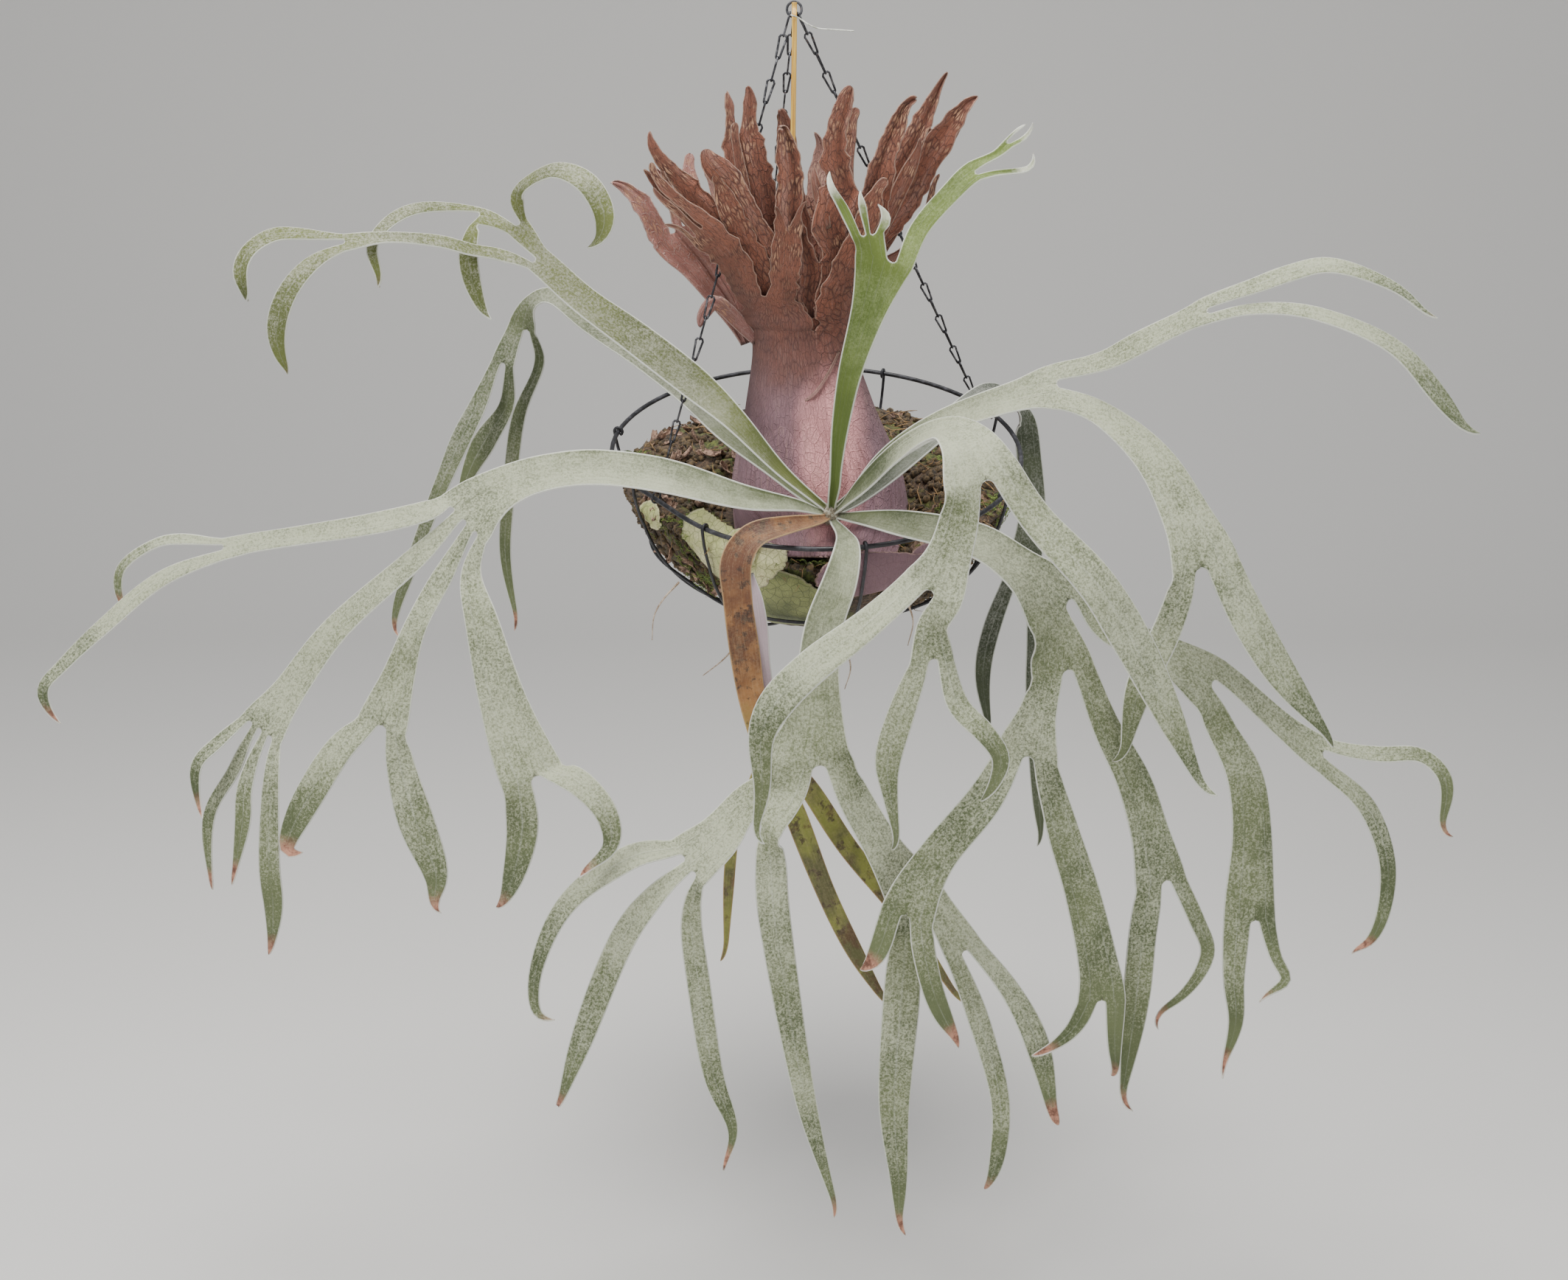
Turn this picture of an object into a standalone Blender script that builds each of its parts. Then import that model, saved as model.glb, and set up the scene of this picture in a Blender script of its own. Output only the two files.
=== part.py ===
import math

import bmesh
import bpy
from mathutils import Matrix, Vector

# Staghorn fern in a hanging wire basket. Lengths are centimetres until a mesh is made.
# The origin is the eye of the hanging ring, +Z is up and the plant faces -Y.
CM = 0.01
MERGE = 2e-6

# Leaf sheets: thickness, spacing of the rows, and the way each kind of leaf faces.
BLADE = 0.12
ROW = 4.2
FROND_FACE = Vector((0.0, -0.8, 0.6))
SHIELD_FACE = Vector((0.0, -1.0, 0.1))
# From this wrap on, in degrees, a row lies level round the neck; below FLAT_WRAP radians it is straight.
LEVEL_WRAP = 60
FLAT_WRAP = 0.05
# A fork's first row eases into the branch over this share of its width, and this much more.
FORK_BLEND = 0.7
FORK_BLEND_MORE = 0.3
ROOT_WIDTH = 0.6
NARROWEST = 0.1

BUD = Vector((3.0, -4.0, -38.9))
BUD_RADIUS = 1.1
BUD_GAP = 0.045
BUD_RINGS = 7
BUD_SIDES = 12

RIM_CENTRE = Vector((1.9, 9.0, -35.2))
RIM_RADIUS = 17.8
RIM_TILT = 19.4
RIM_WIRE = 0.2
RIM_SIDES = 5
RIM_STEPS = 36
RIM_DENT_ANGLE = 217
RIM_DENT_SPREAD = 24
RIM_DENT = 0.09
BOWL_DEPTH = 15.5
# The lower hoops: height under the rim and the steps round it.
LOW_HOOPS = ((-8.6, 24), (-15.3, 8))
RIB_WIRE = 0.14
RIB_SIDES = 4
RIB_STEPS = 6
RIB_SWEEP = 84
RIB_ANGLES = (24, 68, 128, 168, 205, 238, 282, 330)

# The root ball fills the basket up to a sloping, lumpy top with a hollow round the crown.
MOSS_INSET = 0.745
BALL_SIDES = 30
BALL_DROPS = (0.0, 0.2, 0.42, 0.64, 0.84)
BALL_SHARES = (0.9, 0.68, 0.42, 0.2)
BALL_FOOT = 0.965
BALL_BOTTOM = 0.985
MOSS_LEVEL = -2.0
MOSS_SLOPE = 1.5
HOLLOW_X = 2.0
HOLLOW_Y = 4.0
HOLLOW_RADIUS = 10.5
HOLLOW_DEPTH = 2.6
HOLLOW_CURVE = 0.3
# Each lump wave: height, waves round the ball and twist towards the middle.
MOSS_LUMPS = ((0.35, 5, 3), (0.25, 11, -7))

RING_RADIUS = 0.57
RING_WIRE = 0.1
RING_SIDES = 6
RING_STEPS = 20

# Pear-shaped links: the radii of the wide and the narrow end; the last link hooks round the rim.
LINK_WIRE = 0.075
LINK_PITCH = 1.74
LINK_SIDES = 3
LINK_BENDS = 3
LINK_LAP = 1.5
LINK_ENDS = (0.3, 0.17)
HOOK_ENDS = (0.2, 0.42)
RING_PLAY = 0.045
RIM_PLAY = 0.05
CHAIN_SLACK = 0.3
CHAIN_RING_ANGLES = {"chain_left": -132, "chain_back": -96, "chain_right": -52}
CHAIN_RIM_ANGLES = {"chain_left": 215, "chain_back": 108, "chain_right": 32}

# The cane strip hooks over the ring and hangs behind the crown.
STRIP_STOPS = ((0.0, -0.2, 0.5), (0.0, -0.22, 0.1), (0.0, -0.62, -0.6), (0.0, -0.64, -2), (-0.05, -0.6, -6),
               (-0.1, -0.55, -10), (-0.1, -0.5, -12.4))
STRIP_HALF = 0.2
STRIP_THICK = 0.1
TIE_STOPS = ((-0.3, -0.8, -0.5), (0.3, -0.79, -0.7), (1.1, -0.8, -1.2), (1.9, -0.85, -1.5), (3.2, -0.9, -1.6),
             (4.6, -0.95, -1.7))
TIE_WIRE = 0.06
TIE_SIDES = 5


def fork(stations, *kids):
    return {"stations": stations, "kids": list(kids)}


# Each station is x, y, z, width and, where it matters, roll and wrap in degrees.
FRONDS = {
    "frond_up_left": ((135, 20), fork(
        [(-1, -4.6, -35.4, 1.1), (-4.5, -4.5, -31.6, 2.0), (-8, -4, -28.5, 2.8), (-12.3, -3.5, -25.2, 2.9),
         (-16.7, -3, -22, 2.5), (-20.2, -2.5, -18.9, 2.4)],
        fork([(-21.8, -2, -16.4, 2.2)],
             fork([(-21.7, -2.5, -14.2, 1.3), (-20.6, -3.5, -13, 1.3), (-18.2, -5, -12.2, 1.6),
                   (-15.8, -6, -13.2, 1.9), (-14.5, -6.5, -15.3, 1.7), (-14.7, -6.5, -17.1, 1.2),
                   (-16, -6, -18.5, 0.3)]),
             fork([(-24.6, -2.6, -15.6, 1.8)],
                  fork([(-28.1, -4, -14.9, 1.1), (-30.4, -5, -15.6, 1.2), (-32.1, -6, -17.4, 1.0),
                        (-32.1, -6.5, -19.1, 0.8), (-31.1, -6.5, -21, 0.3)]),
                  fork([(-25.4, -3.6, -18, 1.5), (-25.2, -4, -20.2, 1.5), (-24.6, -4.2, -22.2, 1.0),
                        (-24.1, -4, -23.7, 0.3)]))),
        fork([(-22.9, -3.2, -18.6, 1.3), (-25, -4.6, -18.2, 1.2), (-27.4, -5.6, -17.5, 1.2),
              (-31, -6.6, -17.3, 1.1), (-34.1, -7.2, -17.7, 1.7)],
             fork([(-37.3, -7.2, -17, 1.1), (-39.3, -8, -17.1, 1.4), (-40.9, -9, -18.3, 1.3),
                   (-41.5, -9.5, -20.1, 1.1), (-40.8, -9.5, -22.1, 0.3)]),
             fork([(-36.4, -8, -19.1, 1.5), (-38.1, -9, -21.2, 1.7), (-39, -9.5, -23.7, 1.6),
                   (-38.9, -9.5, -25.9, 1.0), (-38.2, -9, -27.3, 0.3)])))),
    "frond_back_left": ((152, -8), fork(
        [(0.6, -3.5, -37.4, 0.9), (-1.8, -2.8, -35.6, 1.1), (-5.6, -0.8, -32.8, 1.5), (-9, 3, -29.9, 1.9),
         (-12.7, 5, -27, 2.3), (-17.2, 7, -24.2, 2.2), (-20.3, 8, -22.1, 1.7), (-22.3, 8.6, -22.6, 1.6),
         (-23.3, 9.4, -24.8, 2.6)],
        fork([(-24.9, 9, -27.8, 2.3)],
             fork([(-27, 8.3, -31, 1.6), (-28.5, 7.5, -34, 1.9), (-30.2, 7, -37.7, 1.5), (-32, 7, -42, 1.3),
                   (-33.5, 7, -45.7, 1.2), (-34.6, 7, -48.5, 0.9), (-35.3, 7, -51.4, 0.3)]),
             fork([(-24.9, 9.9, -31.5, 1.5), (-27, 10.6, -34.6, 2.3), (-28.6, 10.4, -37.6, 1.4),
                   (-29.6, 10, -40.6, 0.3)])),
        fork([(-22, 10.4, -28, 1.0), (-24.2, 12.2, -32.4, 1.3), (-25, 12, -37, 1.3), (-25.6, 12, -41.5, 1.2),
              (-25.8, 12, -45.8, 1.0), (-24.8, 12, -52, 0.3)]))),
    "frond_left": ((171, 24), fork(
        [(0.2, -5.6, -38, 1.2), (-3.9, -7, -37.3, 2.2), (-9.9, -8, -35.5, 3.0), (-14.7, -8.5, -34.7, 3.1),
         (-19.2, -9, -35, 3.2), (-22.6, -9.5, -36.2, 3.8), (-25.4, -10, -38.4, 5.6)],
        fork([(-28.4, -10, -37.9, 2.0), (-32.9, -9.5, -38.9, 1.9), (-37.3, -9, -39.7, 1.8),
              (-41.8, -8.5, -40.4, 1.8), (-44.5, -8.5, -41, 2.0)],
             fork([(-47.7, -8, -40.3, 1.0), (-49.9, -8, -40.6, 0.9), (-52.6, -8, -42.3, 0.9),
                   (-53.2, -8, -44.3, 0.7), (-52.5, -8, -46.6, 0.3)]),
             fork([(-49.7, -9, -43.4, 1.5), (-53.9, -10, -46.9, 1.5), (-57.1, -10.5, -49.9, 1.2),
                   (-58.6, -11, -51.8, 1.0), (-57.8, -11, -54.5, 0.3)])),
        fork([(-29.4, -10.6, -41.6, 2.0), (-35.4, -11, -46.7, 2.4), (-39.2, -11.5, -51.6, 2.9),
              (-41.4, -12, -54.6, 4.2)],
             fork([(-44.7, -12, -55.6, 1.2), (-46.6, -12.5, -57.6, 1.0), (-46.5, -12.5, -61.6, 0.3)]),
             fork([(-44, -11, -58.2, 1.2), (-46.6, -10.5, -62.3, 1.1), (-46.7, -10.5, -68.6, 0.3)]),
             fork([(-42.7, -12.8, -58.9, 1.3), (-43, -13.2, -62, 1.3), (-44.2, -13.2, -67, 0.3)]),
             fork([(-40.5, -13.5, -58.5, 1.4), (-40.9, -14, -64.8, 1.7), (-40.8, -14, -68.7, 1.5),
                   (-41.3, -14, -72.6, 0.4)])),
        fork([(-27.2, -11, -43, 1.8), (-29.1, -12, -46.5, 1.9), (-30.4, -12.5, -50.1, 2.7),
              (-31.8, -13, -54, 4.2)],
             fork([(-35.2, -13.5, -56, 2.6), (-38, -14, -60.3, 2.4), (-39.4, -14.2, -63.4, 1.3),
                   (-38.4, -14.2, -64.2, 0.4)]),
             fork([(-30.4, -13.5, -57.6, 2.5), (-29.2, -14, -61.8, 2.8), (-27.9, -14, -66, 1.9),
                   (-28.7, -14, -68.8, 0.4)])),
        fork([(-24.8, -11.6, -42.4, 1.7), (-23.8, -13, -45.8, 2.6), (-22.2, -14, -52, 3.7),
              (-20, -15, -57.6, 5)],
             fork([(-20.8, -15, -61.6, 2.8), (-21.7, -15, -65.4, 1.9), (-23, -15, -68.7, 0.4)]),
             fork([(-16.6, -15.5, -57.8, 2.4), (-14.4, -16, -60, 1.9), (-14.1, -16, -62.8, 1.3),
                   (-16.6, -16, -65, 0.4)])))),
    "frond_brown": ((216, 52), fork(
        [(1.5, -6, -39.2, 1.1), (-0.8, -8, -39.3, 1.7), (-3.2, -9.6, -39.8, 2.2), (-4.5, -10.2, -41.8, 2.5),
         (-4.4, -10.2, -44.6, 2.3), (-3.9, -9.5, -48.9, 2.4), (-3.2, -9, -53.5, 2.2), (-1.8, -8.8, -57.3, 2.8)],
        fork([(-4, -8.6, -61.8, 0.9), (-4.9, -8.6, -64.7, 0.9), (-5.3, -8.6, -68.7, 0.9),
              (-5.6, -8.6, -75.3, 0.3)]),
        fork([(0, -9, -62.2, 1.8), (2.4, -9.2, -68.6, 1.6), (5, -9.2, -74.2, 1.4), (7.9, -9.2, -79.2, 0.4)]),
        fork([(1.6, -8, -61.2, 1.7), (4.6, -7.2, -66.2, 1.7), (9, -7, -71.9, 1.4), (14.2, -7, -80, 0.4)]))),
    "frond_centre": ((277, 50), fork(
        [(3.8, -6.5, -40, 1.1), (4.1, -9.5, -40.7, 2.0), (3.5, -11, -43.2, 2.7), (2.3, -11.5, -46.5, 3.0),
         (1.8, -12, -50.2, 3.4), (1.6, -12.5, -53.8, 4.6), (1.2, -13, -57.2, 7.2)],
        fork([(-0.9, -13, -59.4, 4.8), (-3, -13.4, -61.4, 5.8)],
             fork([(-1.9, -13.6, -65.4, 2.7), (-1.6, -14, -69, 2.6), (-0.3, -14, -77.9, 2.2),
                   (1.2, -14, -86.1, 1.6), (3.7, -13.5, -95.6, 0.4)]),
             fork([(-5.8, -14, -62.8, 4.0), (-8.2, -14.2, -64.8, 4.8)],
                  fork([(-12.8, -14.6, -64.2, 2.2), (-17.6, -15, -67.6, 1.7), (-20.1, -15, -72.8, 1.2),
                        (-20.4, -15, -76.6, 0.8), (-19, -15, -77.8, 0.3)]),
                  fork([(-11, -14.2, -67.6, 2.0), (-13.6, -14.2, -71.3, 2.2), (-16.8, -14.2, -79.3, 1.9),
                        (-19.1, -14.2, -86.1, 0.4)]),
                  fork([(-8.1, -13.8, -69.6, 1.7), (-7.6, -13.6, -74.8, 1.9), (-6.5, -13.6, -82.9, 1.7),
                        (-4.9, -13.6, -87.7, 0.9), (-5.8, -13.6, -91, 0.3)]))),
        fork([(4.6, -13, -60, 3.0), (7.1, -13, -64.2, 3.2), (10, -13, -69.2, 5.2)],
             fork([(8.7, -13, -75.1, 3.0), (8.1, -13, -85.2, 2.6), (8.6, -12.8, -92.6, 1.5),
                   (8.7, -12.6, -97.6, 0.4)]),
             fork([(13.4, -13, -72.6, 3.6)],
                  fork([(14.8, -13, -78.4, 1.8), (16.7, -13, -85.2, 1.6), (16.6, -13, -90.6, 1.3),
                        (15.6, -13, -94, 0.3)]),
                  fork([(17.4, -13.5, -76, 1.8), (19.6, -14, -80.6, 2.0), (21, -14, -87, 0.8)]))))),
    "frond_front": ((30, 46), fork(
        [(4.9, -7.5, -36.6, 1.3), (7, -10, -34, 1.7), (9.2, -12.5, -32, 2.0), (11.1, -15.5, -31, 2.8),
         (12.4, -18.2, -31.8, 4.2), (13.4, -19.8, -34.2, 6.0)],
        fork([(11.8, -20.2, -37, 3.2), (11, -20.5, -39.6, 3.6), (9.8, -20.6, -42, 5.0)],
             fork([(5, -21, -44.5, 2.5), (1.4, -21.5, -47.1, 2.7), (-1.4, -21.5, -50, 2.7),
                   (-2.5, -21, -52.9, 1.9), (-2.4, -20.5, -57, 1.2), (-3.2, -20.5, -61, 0.3)]),
             fork([(9.7, -20.5, -44.6, 2.6), (9.8, -20.5, -47, 3.4)],
                  fork([(7.9, -20.5, -50.6, 2.1), (6.8, -20.5, -54.3, 2.0), (7, -20.5, -57.3, 1.2),
                        (7.8, -20.5, -62, 0.3)]),
                  fork([(11.7, -21, -50.2, 1.8), (13.5, -21.5, -52, 1.7), (14.9, -21.5, -54, 1.4),
                        (14.5, -21.5, -56, 0.9), (13.5, -21.5, -57.7, 0.3)]))),
        fork([(17.3, -20, -37.2, 2.9), (21.2, -21, -41.1, 3.1), (23.9, -21, -45.1, 3.2), (27, -21, -50.9, 2.3),
              (30.2, -21, -57.4, 0.4)]))),
    "frond_upper_right": ((58, 8), fork(
        [(4.9, -5.5, -37, 1.1), (7.3, -6.5, -34.1, 1.7), (11.3, -7.5, -31.3, 2.2), (17.2, -8.5, -29.1, 2.7),
         (20, -9, -28.3, 4.2)],
        fork([(23.3, -10, -26.4, 2.0), (25.5, -11, -25.1, 2.0), (28.4, -12, -23.5, 1.9),
              (30.2, -13, -22.5, 2.4)],
             fork([(33.5, -13, -20.8, 1.4), (35.9, -13, -19.9, 1.5), (38.9, -14, -19.2, 1.4),
                   (43.2, -15, -20.8, 0.9), (45.7, -16, -23.2, 0.3)]),
             fork([(33.6, -13.4, -22.4, 1.1), (37.8, -14.5, -22.7, 1.3), (43.3, -15.5, -25, 1.5),
                   (46.8, -16, -28.8, 1.6), (49.3, -16, -31.6, 0.4)])),
        fork([(23.2, -10.5, -30.2, 2.4), (27, -12.5, -33.6, 3.2), (29.2, -14, -37.6, 4.0),
              (30.6, -15, -41.2, 5.4)],
             fork([(28, -15.5, -45.7, 2.3), (25.9, -15.5, -50.5, 2.1), (24.9, -15.5, -56.6, 0.4)]),
             fork([(34.2, -15.5, -45.8, 3.2), (37.4, -15.5, -50.4, 2.4), (41, -15.5, -54.8, 0.4)])))),
    "frond_lower_right": ((-8, 40), fork(
        [(5.2, -6.5, -38.9, 1.3), (8.3, -9.5, -38.9, 2.3), (13.6, -11.5, -39.8, 3.0), (17.2, -12.5, -41.9, 3.6),
         (20.2, -13, -44.8, 6.2)],
        fork([(24, -12.5, -46.5, 2.8), (28.5, -12, -48.5, 3.2), (32.2, -12, -51, 4.8)],
             fork([(33.4, -12.5, -54.8, 2.7), (35, -13, -58, 3.0), (35.8, -13, -62.9, 3.2),
                   (36, -13, -70, 4.2)],
                  fork([(35.1, -13, -75.1, 1.9), (35.4, -13, -78.9, 1.2), (34.3, -13, -83.2, 0.3)]),
                  fork([(38, -13.5, -72.8, 1.2), (38.8, -14.2, -74.6, 0.9), (36.4, -15, -75.6, 0.3)])),
             fork([(37.8, -12, -54.2, 2.2), (41.2, -12, -56.6, 3.0)],
                  fork([(45.6, -12, -56.6, 1.4), (48.9, -12, -56.7, 1.3), (50.9, -12.5, -59, 1.2),
                        (50.5, -12.5, -63.4, 0.4)]),
                  fork([(44.8, -12, -60.6, 1.7), (46.8, -12, -64.9, 1.5), (47, -12, -69, 1.2),
                        (46.1, -12, -72, 0.8), (44.4, -12, -72.8, 0.3)]))),
        fork([(20.6, -14, -49.4, 5.4)],
             fork([(18.6, -15, -52.4, 3.2), (17.6, -16, -55.6, 5.0)],
                  fork([(14.4, -17, -58.8, 3.0), (10.8, -17.5, -63, 3.0), (8.6, -17.5, -67.8, 4.2)],
                       fork([(6.4, -18, -70.7, 1.7), (4.9, -18, -72.6, 0.3)]),
                       fork([(10.3, -17.6, -72.7, 1.9), (11.5, -17.6, -76, 1.5), (13, -17.6, -78.5, 0.4)])),
                  fork([(20.2, -16, -60.7, 2.6), (22, -16, -65.9, 2.8), (23.5, -16, -71.9, 3.2),
                        (24, -16, -75.4, 3.8)],
                       fork([(21.7, -16, -78.2, 1.3), (18.9, -16, -80.3, 0.4)]),
                       fork([(25.1, -16, -79.2, 1.3), (25.5, -16, -82.4, 0.4)]))),
             fork([(23.8, -14, -53.8, 2.4), (26.2, -14, -58.2, 2.9), (27.6, -14, -62.4, 3.2),
                   (28.6, -14, -66.4, 4.2)],
                  fork([(27.4, -14, -71.5, 2.4), (27, -14, -77.8, 2.0), (26.2, -14, -85.8, 0.4)]),
                  fork([(31.6, -13.6, -69.6, 1.5), (32.9, -13, -72.7, 1.2), (31.4, -12.6, -76.2, 0.8),
                        (28.4, -12.2, -78.8, 0.3)]))))),
    "frond_upright": ((88, 30), fork(
        [(3.2, -5.5, -36.6, 0.9), (3.3, -6, -34.8, 1.0), (3.6, -6.5, -31.6, 1.4), (4.3, -7.5, -27.4, 1.9),
         (5.6, -8.5, -22.9, 2.7), (6.4, -9, -20.1, 3.9), (6.7, -9.4, -18.9, 4.6)],
        fork([(5.6, -9.6, -17.1, 3.0)],
             fork([(3.6, -10, -15.2, 0.9), (2.7, -10.5, -13.8, 0.6), (2.3, -10.5, -12.6, 0.25)]),
             fork([(5, -10, -15.2, 0.7), (4.6, -10.2, -14.1, 0.25)]),
             fork([(6.8, -9.6, -16, 0.9), (6.7, -9.4, -14.9, 0.3)])),
        fork([(9.2, -9.5, -16.7, 1.7), (11.5, -9.5, -14.2, 1.7), (13.3, -9.5, -12.6, 1.9)],
             fork([(14.8, -9.5, -11.5, 0.9), (15.8, -9.5, -10.6, 1.0)],
                  fork([(16.8, -9.5, -9.1, 0.3)]),
                  fork([(17, -9.5, -10.2, 0.5), (18.1, -9.5, -9.8, 0.25)])),
             fork([(15.9, -9.5, -12.6, 0.6), (17.4, -9.5, -12.4, 0.5), (18.1, -9.5, -11.7, 0.25)])))),
    "frond_back_right": ((18, -10), fork(
        [(5.3, -3.4, -37.8, 0.9), (8, -2.6, -35.7, 1.4), (11.7, 0.8, -33, 1.8), (15.3, 7, -31, 2.2),
         (18, 12, -30.6, 2.3), (20.9, 17, -33, 2.3), (21.8, 18.5, -37, 2.4), (22.4, 19, -42.5, 2.6),
         (21.6, 19, -48, 3.2)],
        fork([(18.9, 19, -53.1, 1.7), (18.1, 19, -58.1, 1.5), (19.1, 19, -64, 0.4)]),
        fork([(23, 19, -53.4, 1.7), (23.1, 19, -60.3, 1.7), (23.8, 19, -69.9, 1.3), (24.3, 19, -75, 0.3)]))),
}

SHIELDS = {
    "shield_front": fork(
        [(2.1, -6.3, -42.03, 12.4, 0, 62), (2.2, -4.4, -40.7, 14, 0, 100), (2.2, -2.8, -39, 14.6, 0, 180),
         (2, -2.4, -36, 13.4, 0, 200), (1.4, -1.4, -31.2, 10.2, 0, 200), (0.9, -0.1, -26.8, 7.9, 0, 200),
         (0.8, 0.1, -24.6, 7.8, 0, 190), (0.5, -0.6, -21.8, 9.4, 0, 120), (0.6, -1.8, -19.2, 12, 0, 70)],
        fork([(-6, -2.6, -16.8, 3.2), (-8.5, -3.2, -14.2, 3.2)],
             fork([(-10.2, -3.8, -11.6, 1.6), (-11.4, -4, -9.5, 0.3)]),
             fork([(-10.2, -4, -13.8, 1.2), (-11.3, -4.6, -12.2, 0.3)])),
        fork([(-3.4, -3, -15.8, 2.7), (-4.9, -4, -13.2, 2.6), (-6.3, -4.8, -11.8, 1.6), (-7, -5, -11, 0.6)]),
        fork([(-0.4, -3.2, -16, 2.8), (-0.3, -4, -13, 2.7), (-0.6, -4.6, -10.6, 1.7), (-0.7, -5, -9, 0.5)]),
        fork([(4, -2.8, -16.2, 5.4), (4.8, -3.4, -13.8, 5.8)],
             fork([(3.2, -4.2, -11.4, 3.0), (3.3, -4.6, -9.2, 2.4), (3.8, -5, -7.4, 1.5),
                   (3.9, -5.2, -6.2, 0.5)]),
             fork([(6.9, -3.8, -11.2, 2.6), (7.8, -4, -9, 1.8), (8.7, -4.2, -6.7, 0.4)]))),
    "shield_inner": fork(
        [(0.6, 0.45, -24.6, 4, 0, 100), (0.7, 1.2, -21, 5.4, 0, 90)],
        fork([(-2.2, -0.9, -16.8, 3.1), (-3.4, -1.7, -12.6, 3.5), (-4.1, -1.8, -9.4, 3.2)],
             fork([(-3.5, -1.8, -7.3, 1.5), (-3.3, -1.8, -6, 0.4)]),
             fork([(-5, -1.8, -7.4, 1.0), (-5.4, -1.8, -6.3, 0.3)])),
        fork([(0.8, 1.1, -16.8, 1.6), (-0.2, 1, -12, 1.9), (-0.7, 1, -9, 1.4), (-0.7, 0.8, -7.4, 0.4)]),
        fork([(3.8, 1.6, -17, 2.4), (7.4, 1.6, -13, 2.6), (10, 1.4, -8.6, 1.8), (11.9, 1.2, -4.6, 0.3)])),
    "shield_right": fork(
        [(3.6, 3.6, -24.6, 1.6), (3.5, 3.7, -21.6, 2.6), (5.4, 3.3, -18.6, 4.4)],
        fork([(7.1, 3.7, -13.9, 1.4), (8.9, 3.7, -11.2, 1.6)],
             fork([(10.2, 3.7, -8, 0.3)]),
             fork([(10.3, 3.9, -10, 0.6), (11.3, 4, -8.9, 0.25)])),
        fork([(9, 2.9, -14.8, 2.6), (11.3, 2.6, -10.4, 2.5), (13.2, 2.4, -7.6, 1.4), (14.4, 2.2, -6.2, 0.3)]),
        fork([(10.3, 3.6, -17.2, 1.1), (11.5, 3.8, -12.2, 0.3)])),
    "shield_pink": fork(
        [(-3.84, 3.6, -25.8, 1.1), (-5.2, 3.6, -22.4, 3.0), (-7.4, 3.4, -19, 4.2), (-9.3, 3, -16.6, 5.2)],
        fork([(-12.2, 2.7, -14.6, 2.3), (-14.5, 2.4, -12.6, 0.3)]),
        fork([(-10.3, 3.5, -13.4, 1.1), (-11.2, 3.7, -11.9, 0.3)]),
        fork([(-8.5, 4, -13.4, 2.3), (-8.7, 5, -10.6, 0.6)])),
    "shield_curl": fork(
        [(-3.12, 2.5, -25.6, 0.7), (-4.9, 2.2, -23.6, 1.6), (-6.4, 1.7, -22.4, 1.5), (-7.4, 1.6, -23.4, 1.0),
         (-7.8, 1.5, -24.2, 0.3)]),
    "shield_back": fork(
        [(2, 11, -38.8, 12, 180, 170), (1.8, 10.2, -35, 11, 180, 180), (1.3, 8.5, -30, 8, 180, 180),
         (0.96, 7.5, -26, 6.8, 180, 180), (0.8, 7.8, -22.5, 7.2, 180, 110)],
        fork([(-3, 8.2, -18.8, 2.6, 180), (-6, 9, -13.6, 2.2, 180), (-7.6, 9.6, -10.2, 0.3, 180)]),
        fork([(1.2, 9.2, -18, 2.4, 180), (2.1, 10.4, -12, 1.8, 180), (2.4, 11, -8.6, 0.3, 180)]),
        fork([(5, 8.4, -18.4, 2.2, 180), (6.4, 9.4, -14.8, 1.8, 180), (7.3, 10, -12.6, 0.3, 180)])),
}

# Young shields on the front of the root ball: rim angle, height, half width, half height, lift.
BALL_SHIELDS = {
    "shield_apron": (275, -3.2, 7.4, 2.3, 0.38),
    "shield_young_left": (233, -3.0, 4.8, 2.5, 0.13),
    "shield_young_front": (258, -7.8, 4.8, 2.9, 0.15),
    "shield_young_right": (303, -3.0, 3.0, 1.8, 0.13),
    "shield_tan": (208, -2.6, 1.7, 1.3, 0.13),
}
PAPERY = ("shield_apron", "shield_young_right")
SHIELD_SIDES = 14
SHIELD_RINGS = (0.5, 1.0)
SHIELD_WAVE = 0.08

MATERIALS = {
    "leaf": ((0.30, 0.40, 0.24), 0.85, 0.0),
    "leaf_brown": ((0.42, 0.25, 0.09), 0.85, 0.0),
    "shield_paper": ((0.36, 0.19, 0.15), 0.9, 0.0),
    "shield_pale": ((0.60, 0.60, 0.34), 0.8, 0.0),
    "moss": ((0.16, 0.14, 0.06), 0.95, 0.0),
    "dark_wire": ((0.02, 0.02, 0.022), 0.5, 0.6),
    "cane": ((0.62, 0.42, 0.10), 0.6, 0.0),
    "tie": ((0.75, 0.76, 0.70), 0.5, 0.0),
}


def clear_scene():
    for item in list(bpy.data.objects):
        bpy.data.objects.remove(item, do_unlink=True)


def make_materials():
    made = {}
    for name, (colour, rough, metal) in MATERIALS.items():
        mat = bpy.data.materials.new(name)
        mat.use_nodes = True
        shader = mat.node_tree.nodes["Principled BSDF"]
        shader.inputs["Base Color"].default_value = (*colour, 1.0)
        shader.inputs["Roughness"].default_value = rough
        shader.inputs["Metallic"].default_value = metal
        made[name] = mat
    return made


def add_node(name, verts, faces, mat):
    mesh = bpy.data.meshes.new(name)
    mesh.from_pydata([tuple(v * CM) for v in verts], [], faces)
    mesh.materials.append(mat)
    mesh.update()
    node = bpy.data.objects.new(name, mesh)
    bpy.context.scene.collection.objects.link(node)
    return node


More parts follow.
